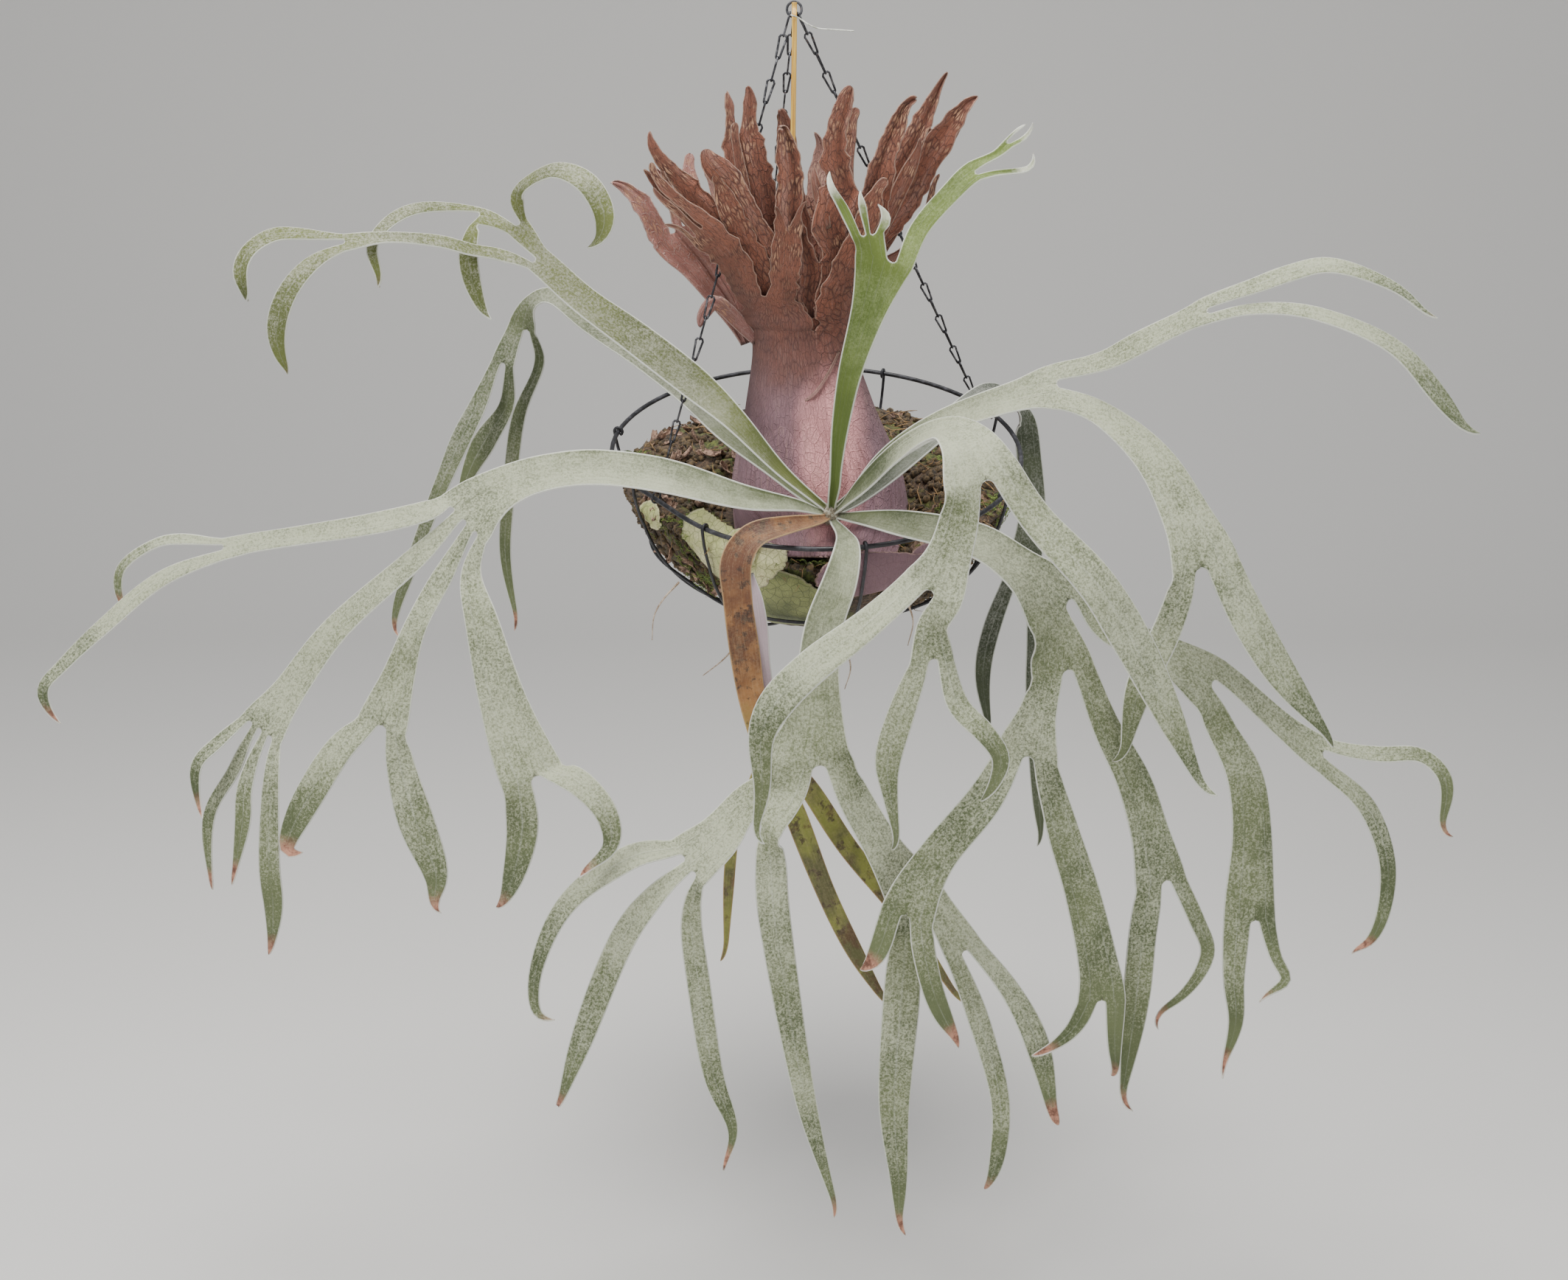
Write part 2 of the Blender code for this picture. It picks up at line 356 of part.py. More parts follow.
def smooth_point(points, index, t):
    p0, p1, p2, p3 = points[index:index + 4]
    a = 2.0 * p1
    b = p2 - p0
    c = 2.0 * p0 - 5.0 * p1 + 4.0 * p2 - p3
    d = 3.0 * (p1 - p2) + p3 - p0
    return 0.5 * (a + t * b + t * t * c + t * t * t * d)


def station(values):
    x, y, z, width = values[:4]
    roll = values[4] if len(values) > 4 else 0.0
    wrap = values[5] if len(values) > 5 else 0.0
    return Vector((x, y, z)), width, roll, wrap


def facing(tangent, roll, face):
    normal = face - face.dot(tangent) * tangent
    normal.normalize()
    return Matrix.Rotation(math.radians(roll), 3, tangent) @ normal


def across(tangent, roll, face):
    return tangent.cross(facing(tangent, roll, face))


def cross_row(centre, tangent, width, roll, wrap, edges, face):
    if wrap >= LEVEL_WRAP:
        normal = Matrix.Rotation(math.radians(roll), 3, "Z") @ Vector((0, -1, 0))
        side = Vector((0, 0, 1)).cross(normal)
    else:
        normal = facing(tangent, roll, face)
        side = tangent.cross(normal)
    half = math.radians(wrap) / 2
    if half < FLAT_WRAP:
        return [centre + side * (s * width / 2) for s in edges]
    radius = width / 2 / math.sin(min(half, math.pi / 2))
    row = []
    for s in edges:
        turn = s * half
        row.append(centre + side * (radius * math.sin(turn)) - normal * (radius * (1 - math.cos(turn))))
    return row


def order_kids(branch, before, face):
    points = [station(s)[0] for s in branch["stations"]]
    last = points[-1]
    tangent = (last - (points[-2] if len(points) > 1 else before)).normalized()
    side = across(tangent, station(branch["stations"][-1])[2], face)
    branch["kids"].sort(key=lambda kid: (station(kid["stations"][0])[0] - last).normalized().dot(side))
    for kid in branch["kids"]:
        order_kids(kid, last, face)


def column_widths(branch):
    if not branch["kids"]:
        return [1.0]
    total = sum(station(kid["stations"][0])[1] for kid in branch["kids"])
    widths = []
    for kid in branch["kids"]:
        share = station(kid["stations"][0])[1] / total
        widths += [share * w for w in column_widths(kid)]
    return widths


def row_edges(branch):
    edges = [-1.0]
    for w in column_widths(branch):
        edges.append(edges[-1] + 2.0 * w)
    return edges


def sample_branch(points, values, before):
    if before is None:
        lead = points[1] - points[0]
    else:
        lead = points[0] - before
    lead = lead.normalized() * (points[1] - points[0]).length
    track = [points[0] - lead] + points + [points[-1] * 2 - points[-2]]
    samples = []
    for i in range(len(points) - 1):
        steps = max(1, round((points[i + 1] - points[i]).length / ROW))
        for k in range(steps):
            t = k / steps
            ease = t * t * (3 - 2 * t)
            mix = [a + (b - a) * ease for a, b in zip(values[i], values[i + 1])]
            samples.append((smooth_point(track, i, t), *mix))
    samples.append((points[-1], *values[-1]))
    return samples


def grow(branch, sheet, first_row, before, face):
    stations = [station(s) for s in branch["stations"]]
    edges = row_edges(branch)
    if first_row is None:
        start = stations.pop(0)
        points = [start[0]]
        values = [start[1:]]
    else:
        corner_a = sheet["verts"][first_row[0]]
        corner_b = sheet["verts"][first_row[-1]]
        points = [(corner_a + corner_b) / 2]
        values = [((corner_b - corner_a).length, stations[0][2], stations[0][3])]
    points += [s[0] for s in stations]
    values += [s[1:] for s in stations]
    samples = sample_branch(points, values, before)
    row = first_row
    origin = None
    travelled = 0.0
    for k, (centre, width, roll, wrap) in enumerate(samples):
        ahead = samples[min(k + 1, len(samples) - 1)][0]
        behind = samples[max(k - 1, 0)][0]
        tangent = (ahead - behind).normalized()
        if k == 0:
            if before is not None and first_row is None:
                tangent = (centre - before).normalized()
            if row is None:
                base = len(sheet["verts"])
                sheet["verts"] += cross_row(centre, tangent, width, roll, wrap, edges, face)
                row = list(range(base, base + len(edges)))
            origin = [sheet["verts"][v] - centre for v in row]
            start_width = max((origin[-1] - origin[0]).length, NARROWEST)
            continue
        travelled += (centre - samples[k - 1][0]).length
        own = cross_row(centre, tangent, width, roll, wrap, edges, face)
        if first_row is not None:
            blend = min(1.0, travelled / (FORK_BLEND * start_width + FORK_BLEND_MORE))
            blend = blend * blend * (3 - 2 * blend)
            scale = width / start_width
            own = [(centre + o * scale).lerp(p, blend) for o, p in zip(origin, own)]
        base = len(sheet["verts"])
        sheet["verts"] += own
        fresh = list(range(base, base + len(own)))
        for j in range(len(own) - 1):
            sheet["tris"].append((row[j], row[j + 1], fresh[j + 1]))
            sheet["tris"].append((row[j], fresh[j + 1], fresh[j]))
        row = fresh
    last = samples[-1][0]
    prior = samples[-2][0]
    at = 0
    for kid in branch["kids"]:
        count = len(column_widths(kid))
        grow(kid, sheet, row[at:at + count + 1], prior, face)
        at += count


def thicken(sheet, thickness):
    verts = sheet["verts"]
    tris = sheet["tris"]
    normals = [Vector() for _ in verts]
    edge_use = {}
    for a, b, c in tris:
        n = (verts[b] - verts[a]).cross(verts[c] - verts[a])
        for v in (a, b, c):
            normals[v] += n
        for e in ((a, b), (b, c), (c, a)):
            edge_use[e] = edge_use.get(e, 0) + 1
    count = len(verts)
    front = [v + n.normalized() * (thickness / 2) for v, n in zip(verts, normals)]
    back = [v - n.normalized() * (thickness / 2) for v, n in zip(verts, normals)]
    faces = list(tris) + [(c + count, b + count, a + count) for a, b, c in tris]
    for a, b in edge_use:
        if (b, a) not in edge_use:
            faces.append((b, a, a + count))
            faces.append((b, a + count, b + count))
    return front + back, faces


def leaf_node(name, tree, mat, face, before=None, first=None):
    tree = {"stations": list(tree["stations"]), "kids": tree["kids"]}
    if first is not None:
        tree["stations"].insert(0, first)
    points = [station(s)[0] for s in tree["stations"]]
    order_kids(tree, points[0], face)
    sheet = {"verts": [], "tris": []}
    grow(tree, sheet, None, before, face)
    verts, faces = thicken(sheet, BLADE)
    return add_node(name, verts, faces, mat)


def build_fronds(mats):
    for name, ((turn, lift), tree) in FRONDS.items():
        turn = math.radians(turn)
        lift = math.radians(lift)
        aim = Vector((math.cos(turn) * math.cos(lift), -math.sin(lift), math.sin(turn) * math.cos(lift)))
        root = BUD + aim * (BUD_RADIUS + BUD_GAP)
        mat = mats["leaf_brown"] if name == "frond_brown" else mats["leaf"]
        leaf_node(name, tree, mat, FROND_FACE, BUD, (*root, ROOT_WIDTH))


def build_shields(mats):
    for name, tree in SHIELDS.items():
        leaf_node(name, tree, mats["shield_paper"], SHIELD_FACE)


def build_bud(mats):
    verts = []
    faces = []
    for i in range(1, BUD_RINGS):
        up = math.pi * i / BUD_RINGS
        for j in range(BUD_SIDES):
            turn = 2 * math.pi * j / BUD_SIDES
            spot = Vector((math.sin(up) * math.cos(turn), -math.cos(up), math.sin(up) * math.sin(turn)))
            verts.append(BUD + spot * BUD_RADIUS)
    front = len(verts)
    verts.append(BUD + Vector((0, -BUD_RADIUS, 0)))
    verts.append(BUD + Vector((0, BUD_RADIUS, 0)))
    last = (BUD_RINGS - 2) * BUD_SIDES
    for j in range(BUD_SIDES):
        k = (j + 1) % BUD_SIDES
        faces.append((front, k, j))
        faces.append((front + 1, last + j, last + k))
        for i in range(BUD_RINGS - 2):
            a = i * BUD_SIDES
            b = a + BUD_SIDES
            faces.append((a + j, a + k, b + k, b + j))
    node = add_node("bud", verts, faces, mats["leaf"])
    face_out(node)


def face_out(node):
    mesh = bmesh.new()
    mesh.from_mesh(node.data)
    bmesh.ops.recalc_face_normals(mesh, faces=mesh.faces[:])
    if mesh.calc_volume(signed=True) < 0:
        bmesh.ops.reverse_faces(mesh, faces=mesh.faces[:])
    bmesh.ops.triangulate(mesh, faces=mesh.faces[:])
    mesh.to_mesh(node.data)
    mesh.free()


def rim_radius(angle):
    away = (angle - RIM_DENT_ANGLE + 180) % 360 - 180
    return RIM_RADIUS * (1 - RIM_DENT * math.exp(-(away / RIM_DENT_SPREAD) ** 2))


def bowl_factor(height):
    depth = min(0.0, height) / BOWL_DEPTH
    return math.sqrt(max(0.0, 1 - depth * depth))


def basket_point(angle, radius, height):
    turn = math.radians(angle)
    tilt = math.radians(RIM_TILT)
    right = Vector((1, 0, 0))
    back = Vector((0, math.cos(tilt), math.sin(tilt)))
    up = Vector((0, -math.sin(tilt), math.cos(tilt)))
    return RIM_CENTRE + right * (radius * math.cos(turn)) + back * (radius * math.sin(turn)) + up * height


def tube(points, radius, sides, closed, turn=0.0):
    count = len(points)
    verts = []
    faces = []
    for i, point in enumerate(points):
        ahead = points[(i + 1) % count] if closed else points[min(i + 1, count - 1)]
        behind = points[i - 1] if closed else points[max(i - 1, 0)]
        tangent = (ahead - behind).normalized()
        if i == 0:
            guide = Vector((0, 1, 0)) if abs(tangent.y) < 0.8 else Vector((1, 0, 0))
            side = (guide - guide.dot(tangent) * tangent).normalized()
        else:
            side = (side - side.dot(tangent) * tangent).normalized()
        other = tangent.cross(side)
        for j in range(sides):
            a = 2 * math.pi * j / sides + turn
            verts.append(point + side * (radius * math.cos(a)) + other * (radius * math.sin(a)))
    spans = count if closed else count - 1
    for i in range(spans):
        a = i * sides
        b = ((i + 1) % count) * sides
        for j in range(sides):
            k = (j + 1) % sides
            faces.append((a + j, a + k, b + k, b + j))
    if not closed:
        faces.append(tuple(reversed(range(sides))))
        faces.append(tuple(range((count - 1) * sides, count * sides)))
    return verts, faces


def fuse(name, bodies, mat):
    group = bpy.data.collections.new(name + "_parts")
    bpy.context.scene.collection.children.link(group)
    nodes = []
    for index, (verts, faces) in enumerate(bodies):
        node = add_node(f"{name}_{index}", verts, faces, mat)
        face_out(node)
        nodes.append(node)
    whole, *others = nodes
    whole.name = name
    for node in others:
        bpy.context.scene.collection.objects.unlink(node)
        group.objects.link(node)
    union = whole.modifiers.new("union", "BOOLEAN")
    union.operation = "UNION"
    union.solver = "EXACT"
    union.operand_type = "COLLECTION"
    union.collection = group
    graph = bpy.context.evaluated_depsgraph_get()
    mesh = bpy.data.meshes.new_from_object(whole.evaluated_get(graph))
    whole.modifiers.clear()
    whole.data = mesh
    mesh.name = name
    for node in others:
        bpy.data.objects.remove(node, do_unlink=True)
    bpy.data.collections.remove(group)
    union_mesh = bmesh.new()
    union_mesh.from_mesh(mesh)
    bmesh.ops.remove_doubles(union_mesh, verts=union_mesh.verts[:], dist=MERGE)
    bmesh.ops.dissolve_degenerate(union_mesh, dist=MERGE, edges=union_mesh.edges[:])
    bmesh.ops.triangulate(union_mesh, faces=union_mesh.faces[:])
    union_mesh.to_mesh(mesh)
    union_mesh.free()


def hoop(height, wire, sides, steps):
    points = []
    for i in range(steps):
        angle = 360 * i / steps
        points.append(basket_point(angle, rim_radius(angle) * bowl_factor(height), height))
    return tube(points, wire, sides, True, math.pi / sides)


def rib(angle):
    points = []
    for k in range(RIB_STEPS + 1):
        drop = math.radians(RIB_SWEEP * k / RIB_STEPS)
        height = -BOWL_DEPTH * math.sin(drop)
        points.append(basket_point(angle, rim_radius(angle) * math.cos(drop), height))
    return tube(points, RIB_WIRE, RIB_SIDES, False)


def build_basket(mats):
    bodies = [hoop(0, RIM_WIRE, RIM_SIDES, RIM_STEPS)]
    bodies += [hoop(height, RIB_WIRE, RIB_SIDES, steps) for height, steps in LOW_HOOPS]
    bodies += [rib(angle) for angle in RIB_ANGLES]
    fuse("wire_basket", bodies, mats["dark_wire"])


def ball_point(angle, height, lift):
    reach = rim_radius(angle) - MOSS_INSET + lift
    depth = BOWL_DEPTH - MOSS_INSET + lift
    slope = max(-1.0, min(0.0, height) / depth)
    return basket_point(angle, reach * math.sqrt(max(0.0, 1 - slope * slope)), height)


def moss_top(angle, share):
    turn = math.radians(angle)
    back = math.sin(turn) * share
    level = MOSS_LEVEL - MOSS_SLOPE * (back + 1) / 2
    spot = basket_point(angle, (rim_radius(angle) - MOSS_INSET) * share, 0)
    near = math.hypot(spot.x - HOLLOW_X, spot.y - HOLLOW_Y) / HOLLOW_RADIUS
    dip = HOLLOW_DEPTH * (1 - near) ** HOLLOW_CURVE if near < 1 else 0.0
    lumps = sum(size * math.sin(waves * turn + twist * share) for size, waves, twist in MOSS_LUMPS)
    return level - dip + lumps * min(1.0, 3 * (1 - share))


def build_root_ball(mats):
    depth = BOWL_DEPTH - MOSS_INSET
    angles = [360 * j / BALL_SIDES for j in range(BALL_SIDES)]
    verts = []
    for drop in reversed(BALL_DROPS):
        for angle in angles:
            edge = moss_top(angle, 1.0)
            verts.append(ball_point(angle, edge + (-depth * BALL_FOOT - edge) * drop, 0.0))
    for share in BALL_SHARES:
        for angle in angles:
            verts.append(basket_point(angle, (rim_radius(angle) - MOSS_INSET) * share, moss_top(angle, share)))
    low = len(verts)
    high = low + 1
    verts.append(basket_point(0, 0, -depth * BALL_BOTTOM))
    verts.append(basket_point(0, 0, moss_top(0, 0.0)))
    rings = [list(range(start, start + BALL_SIDES)) for start in range(0, low, BALL_SIDES)]
    faces = []
    for lower, upper in zip(rings, rings[1:]):
        for j in range(BALL_SIDES):
            k = (j + 1) % BALL_SIDES
            faces.append((lower[j], lower[k], upper[k], upper[j]))
    for j in range(BALL_SIDES):
        k = (j + 1) % BALL_SIDES
        faces.append((low, rings[0][k], rings[0][j]))
        faces.append((high, rings[-1][j], rings[-1][k]))
    node = add_node("root_ball", verts, faces, mats["moss"])
    face_out(node)


def build_ball_shields(mats):
    for name, (angle, height, wide, tall, lift) in BALL_SHIELDS.items():
        sheet = {"verts": [ball_point(angle, height, lift)], "tris": []}
        for ring in SHIELD_RINGS:
            for j in range(SHIELD_SIDES):
                turn = 2 * math.pi * j / SHIELD_SIDES
                wave = 1 + SHIELD_WAVE * math.sin(3 * turn + angle)
                across_deg = math.degrees(wide * ring * wave * math.cos(turn) / RIM_RADIUS)
                up = tall * ring * wave * math.sin(turn)
                sheet["verts"].append(ball_point(angle + across_deg, height + up, lift))
        for j in range(SHIELD_SIDES):
            k = (j + 1) % SHIELD_SIDES
            sheet["tris"].append((0, 1 + j, 1 + k))
            sheet["tris"].append((1 + j, 1 + SHIELD_SIDES + j, 1 + SHIELD_SIDES + k))
            sheet["tris"].append((1 + j, 1 + SHIELD_SIDES + k, 1 + k))
        verts, faces = thicken(sheet, BLADE)
        mat = mats["shield_paper"] if name in PAPERY else mats["shield_pale"]
        add_node(name, verts, faces, mat)


def ring_point(turn):
    return Vector((RING_RADIUS * math.cos(turn), 0, RING_RADIUS * math.sin(turn)))


def build_ring(mats):
    points = [ring_point(2 * math.pi * i / RING_STEPS) for i in range(RING_STEPS)]
    verts, faces = tube(points, RING_WIRE, RING_SIDES, True)
    node = add_node("hang_ring", verts, faces, mats["dark_wire"])
    face_out(node)


def link(start, axis, side, length, wide, narrow):
    turns = [math.pi * k / LINK_BENDS for k in range(LINK_BENDS + 1)]
    outline = [(wide - wide * math.sin(turn), wide * math.cos(turn)) for turn in turns]
    outline += [(length - narrow + narrow * math.sin(turn), -narrow * math.cos(turn)) for turn in turns]
    points = [start + axis * a + side * b for a, b in outline]
    return tube(points, LINK_WIRE, LINK_SIDES, True)


def build_chain(name, mats):
    ring_turn = math.radians(CHAIN_RING_ANGLES[name])
    top = ring_point(ring_turn)
    rim_angle = CHAIN_RIM_ANGLES[name]
    low = basket_point(rim_angle, rim_radius(rim_angle), 0)
    axis = (low - top).normalized()
    reach = RING_WIRE + LINK_WIRE + RING_PLAY
    hook = RIM_WIRE + LINK_WIRE + RIM_PLAY
    begin = top - axis * reach
    total = (low - top).length + reach + hook
    count = round((total - CHAIN_SLACK) / LINK_PITCH)
    pitch = (total - LINK_LAP * LINK_WIRE) / count
    ring_tangent = Vector((-math.sin(ring_turn), 0, math.cos(ring_turn)))
    rim_ahead = basket_point(rim_angle + 1, rim_radius(rim_angle + 1), 0)
    rim_tangent = (rim_ahead - low).normalized()
    first_side = axis.cross(ring_tangent).normalized()
    last_side = axis.cross(rim_tangent).normalized()
    bodies = []
    for k in range(count):
        start = begin + axis * (pitch * k)
        if k == 0:
            side = first_side
        elif k == count - 1:
            side = last_side
        else:
            side = Matrix.Rotation(math.radians(90 * k), 3, axis) @ first_side
        wide, narrow = LINK_ENDS if k < count - 1 else HOOK_ENDS
        bodies.append(link(start, axis, side, pitch + LINK_LAP * LINK_WIRE, wide, narrow))
    fuse(name, bodies, mats["dark_wire"])


def build_strip(mats):
    sheet = {"verts": [], "tris": []}
    for x, y, z in STRIP_STOPS:
        for s in (-STRIP_HALF, STRIP_HALF):
            sheet["verts"].append(Vector((x + s, y, z)))
    for i in range(len(STRIP_STOPS) - 1):
        a = 2 * i
        sheet["tris"].append((a, a + 2, a + 3))
        sheet["tris"].append((a, a + 3, a + 1))
    verts, faces = thicken(sheet, STRIP_THICK)
    node = add_node("cane_strip", verts, faces, mats["cane"])
    face_out(node)


def build_tie(mats):
    verts, faces = tube([Vector(stop) for stop in TIE_STOPS], TIE_WIRE, TIE_SIDES, False)
    node = add_node("tie_wire", verts, faces, mats["tie"])
    face_out(node)


def main():
    clear_scene()
    mats = make_materials()
    build_ring(mats)
    build_strip(mats)
    build_tie(mats)
    for name in CHAIN_RING_ANGLES:
        build_chain(name, mats)
    build_basket(mats)
    build_root_ball(mats)
    build_ball_shields(mats)
    build_bud(mats)
    build_shields(mats)
    build_fronds(mats)


main()
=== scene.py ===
import math
import random

import bmesh
import bpy
from mathutils import Euler, Matrix, Vector, noise
from mathutils.kdtree import KDTree


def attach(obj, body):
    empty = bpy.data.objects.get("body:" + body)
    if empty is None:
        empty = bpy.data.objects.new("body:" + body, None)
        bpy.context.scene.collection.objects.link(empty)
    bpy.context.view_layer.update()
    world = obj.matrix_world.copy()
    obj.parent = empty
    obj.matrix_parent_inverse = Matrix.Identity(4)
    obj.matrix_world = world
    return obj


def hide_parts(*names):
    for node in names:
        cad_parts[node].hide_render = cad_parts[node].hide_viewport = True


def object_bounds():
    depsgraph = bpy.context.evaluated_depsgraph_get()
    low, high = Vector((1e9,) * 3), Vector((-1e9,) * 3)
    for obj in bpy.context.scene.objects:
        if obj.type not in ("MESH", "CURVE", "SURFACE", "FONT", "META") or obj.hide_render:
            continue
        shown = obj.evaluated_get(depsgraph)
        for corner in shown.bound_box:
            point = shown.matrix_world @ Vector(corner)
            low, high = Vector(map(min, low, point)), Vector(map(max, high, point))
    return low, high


# Staghorn fern in a hanging wire basket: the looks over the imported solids.
# Shapes are laid out in centimetres, +Z up, the plant facing -Y, and turned into metres by makePiece.
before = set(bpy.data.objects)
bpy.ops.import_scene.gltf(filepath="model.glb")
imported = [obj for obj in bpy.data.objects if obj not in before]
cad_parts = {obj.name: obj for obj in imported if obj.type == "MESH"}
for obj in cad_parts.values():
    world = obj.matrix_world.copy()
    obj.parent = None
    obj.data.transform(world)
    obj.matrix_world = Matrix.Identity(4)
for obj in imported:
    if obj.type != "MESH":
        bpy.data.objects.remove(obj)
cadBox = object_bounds()
cm = 0.01
bladeFace = Vector((0.0, -0.8, 0.6))  # the way a frond's upper side looks
crownFace = Vector((0.0, -1.0, 0.1))
levelWrap = 60  # from this wrap on, a shield's rows lie level


def rgb(red, green, blue):
    channels = []
    for value in (red, green, blue):
        value /= 255
        channels.append(value / 12.92 if value <= 0.04045 else ((value + 0.055) / 1.055) ** 2.4)
    return (*channels, 1.0)


def smoothStep(value):
    value = min(1.0, max(0.0, value))
    return value * value * (3 - 2 * value)


def turnsOf(count):
    return [2 * math.pi * k / count for k in range(count)]


# objects and meshes


def addObject(name, data):
    added = bpy.data.objects.new(name, data)
    bpy.context.scene.collection.objects.link(added)
    return added


def makeHost(name, verts, edges=(), faces=(), values=None):
    mesh = bpy.data.meshes.new(name)
    mesh.from_pydata([tuple(v * cm) for v in verts], edges, faces)
    for label, numbers in (values or {}).items():
        mesh.attributes.new(label, "FLOAT", "POINT").data.foreach_set("value", numbers)
    return addObject(name, mesh)


def makePiece(name, verts, faces, material, uvs=None, values=None, smooth=True):
    piece = makeHost(name, verts, [], faces, values)
    mesh = piece.data
    mesh.materials.append(material)
    if uvs:
        layer = mesh.uv_layers.new(name="flow")
        for loop in mesh.loops:
            layer.data[loop.index].uv = uvs[loop.vertex_index]
    mesh.update()
    if smooth:
        mesh.shade_smooth()
    return piece


def facesOutward(piece, mergeWithin=None):
    mesh = bmesh.new()
    mesh.from_mesh(piece.data)
    if mergeWithin:
        bmesh.ops.remove_doubles(mesh, verts=mesh.verts[:], dist=mergeWithin)
    bmesh.ops.recalc_face_normals(mesh, faces=mesh.faces[:])
    if mesh.calc_volume(signed=True) < 0:
        bmesh.ops.reverse_faces(mesh, faces=mesh.faces[:])
    mesh.to_mesh(piece.data)
    mesh.free()
    return piece


def gridFaces(rows, columns, loop=False, flipped=False, first=0):
    # four-sided faces between rows of points that run round a tube or a ball
    faces = []
    for i in range(rows if loop else rows - 1):
        a, b = first + i * columns, first + (i + 1) % rows * columns
        for j in range(columns):
            k = (j + 1) % columns
            faces.append((a + j, b + j, b + k, a + k) if flipped else (a + j, a + k, b + k, b + j))
    return faces


def settle(piece, slot, *nodes):
    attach(piece, "root")
    if nodes:
        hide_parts(*nodes)


# node helpers: an input is linked where it is given a socket, and set where it is given a value


def feed(tree, target, value):
    if isinstance(value, bpy.types.NodeSocket):
        tree.links.new(value, target)
    elif value is not None:
        target.default_value = value


def place(tree, kind, settings=None, **inputs):
    node = tree.nodes.new(kind)
    for label, value in (settings or {}).items():
        setattr(node, label, value)
    for label, value in inputs.items():
        feed(tree, node.inputs[label.replace("_", " ")], value)
    return node


def maths(tree, operation, *values):
    node = place(tree, "ShaderNodeMath", {"operation": operation})
    for target, value in zip(node.inputs, values):
        feed(tree, target, value)
    return node.outputs[0]


def times(tree, first, second):
    return maths(tree, "MULTIPLY", first, second)


def swing(tree, value):
    return maths(tree, "SUBTRACT", value, 0.5)  # from 0..1 to either side of nothing


def mixColour(tree, share, first, second):
    node = place(tree, "ShaderNodeMix", {"data_type": "RGBA"})
    for index, value in ((0, share), (6, first), (7, second)):
        feed(tree, node.inputs[index], value)
    return node.outputs[2]


def remap(tree, value, low, high, outLow=0.0, outHigh=1.0):
    return place(tree, "ShaderNodeMapRange", {"interpolation_type": "SMOOTHSTEP"}, Value=value,
                 From_Min=low, From_Max=high, To_Min=outLow, To_Max=outHigh).outputs["Result"]


def readValue(tree, label):
    return place(tree, "ShaderNodeAttribute", {"attribute_name": label}).outputs["Fac"]


def noiseAt(tree, vector, scale, detail=3.0, rough=0.55):
    node = place(tree, "ShaderNodeTexNoise", Vector=vector, Scale=scale, Detail=detail, Roughness=rough)
    return node.outputs["Fac"]


def stretch(tree, vector, x, y, z):
    return place(tree, "ShaderNodeMapping", Vector=vector, Scale=(x, y, z)).outputs["Vector"]


def splitUp(tree, vector):
    return place(tree, "ShaderNodeSeparateXYZ", Vector=vector).outputs


def coordsOf(tree):
    return place(tree, "ShaderNodeTexCoord").outputs


def startGroup(name, kind, inputs, outputs):
    tree = bpy.data.node_groups.new(name, kind)
    for label, socketType, value in inputs:
        socket = tree.interface.new_socket(label, in_out="INPUT", socket_type="NodeSocket" + socketType)
        if value is not None:
            socket.default_value = value
    for label, socketType in outputs:
        tree.interface.new_socket(label, in_out="OUTPUT", socket_type="NodeSocket" + socketType)
    return tree, tree.nodes.new("NodeGroupInput").outputs, tree.nodes.new("NodeGroupOutput").inputs


def startEffect(name, inputs, *outputs):
    inputs = [(label, "Float", value) for label, value in inputs.items()]
    return startGroup(name, "ShaderNodeTree", inputs, [(label, "Float") for label in outputs])


def endEffect(tree, out, **values):
    for label, value in values.items():
        tree.links.new(value, out[label])
    return tree


def useGroup(tree, group, **inputs):
    return place(tree, "ShaderNodeGroup", {"node_tree": group}, **inputs).outputs


def startMaterial(name, rough, metal=0.0, sheen=0.0):
    material = bpy.data.materials.new(name)
    material.use_nodes = True
    tree = material.node_tree
    shader = tree.nodes["Principled BSDF"]
    fixed = {"Roughness": rough, "Metallic": metal, "Sheen Weight": sheen, "Sheen Roughness": 0.6}
    for label, value in fixed.items():
        shader.inputs[label].default_value = value
    return material, tree, coordsOf(tree)


def lay(tree, colour, over, mask, amount):
    return mixColour(tree, times(tree, mask, amount), colour, over)


def layRim(tree, colour, over, amount, low, high):
    return lay(tree, colour, over, remap(tree, readValue(tree, "rim"), low, high, 1.0, 0.0), amount)


def spotsOf(tree, size, level):
    return useGroup(tree, ageBlotches, Size=size, Level=level)["Mask"]


def finishMaterial(material, colour, height, distance, strength, rough=None):
    # the bump is given in metres
    tree = material.node_tree
    shader = tree.nodes["Principled BSDF"]
    bump = place(tree, "ShaderNodeBump", Height=height, Strength=strength, Distance=distance)
    feed(tree, shader.inputs["Base Color"], colour)
    feed(tree, shader.inputs["Normal"], bump.outputs["Normal"])
    feed(tree, shader.inputs["Roughness"], rough)
    return material


# effects that several materials share


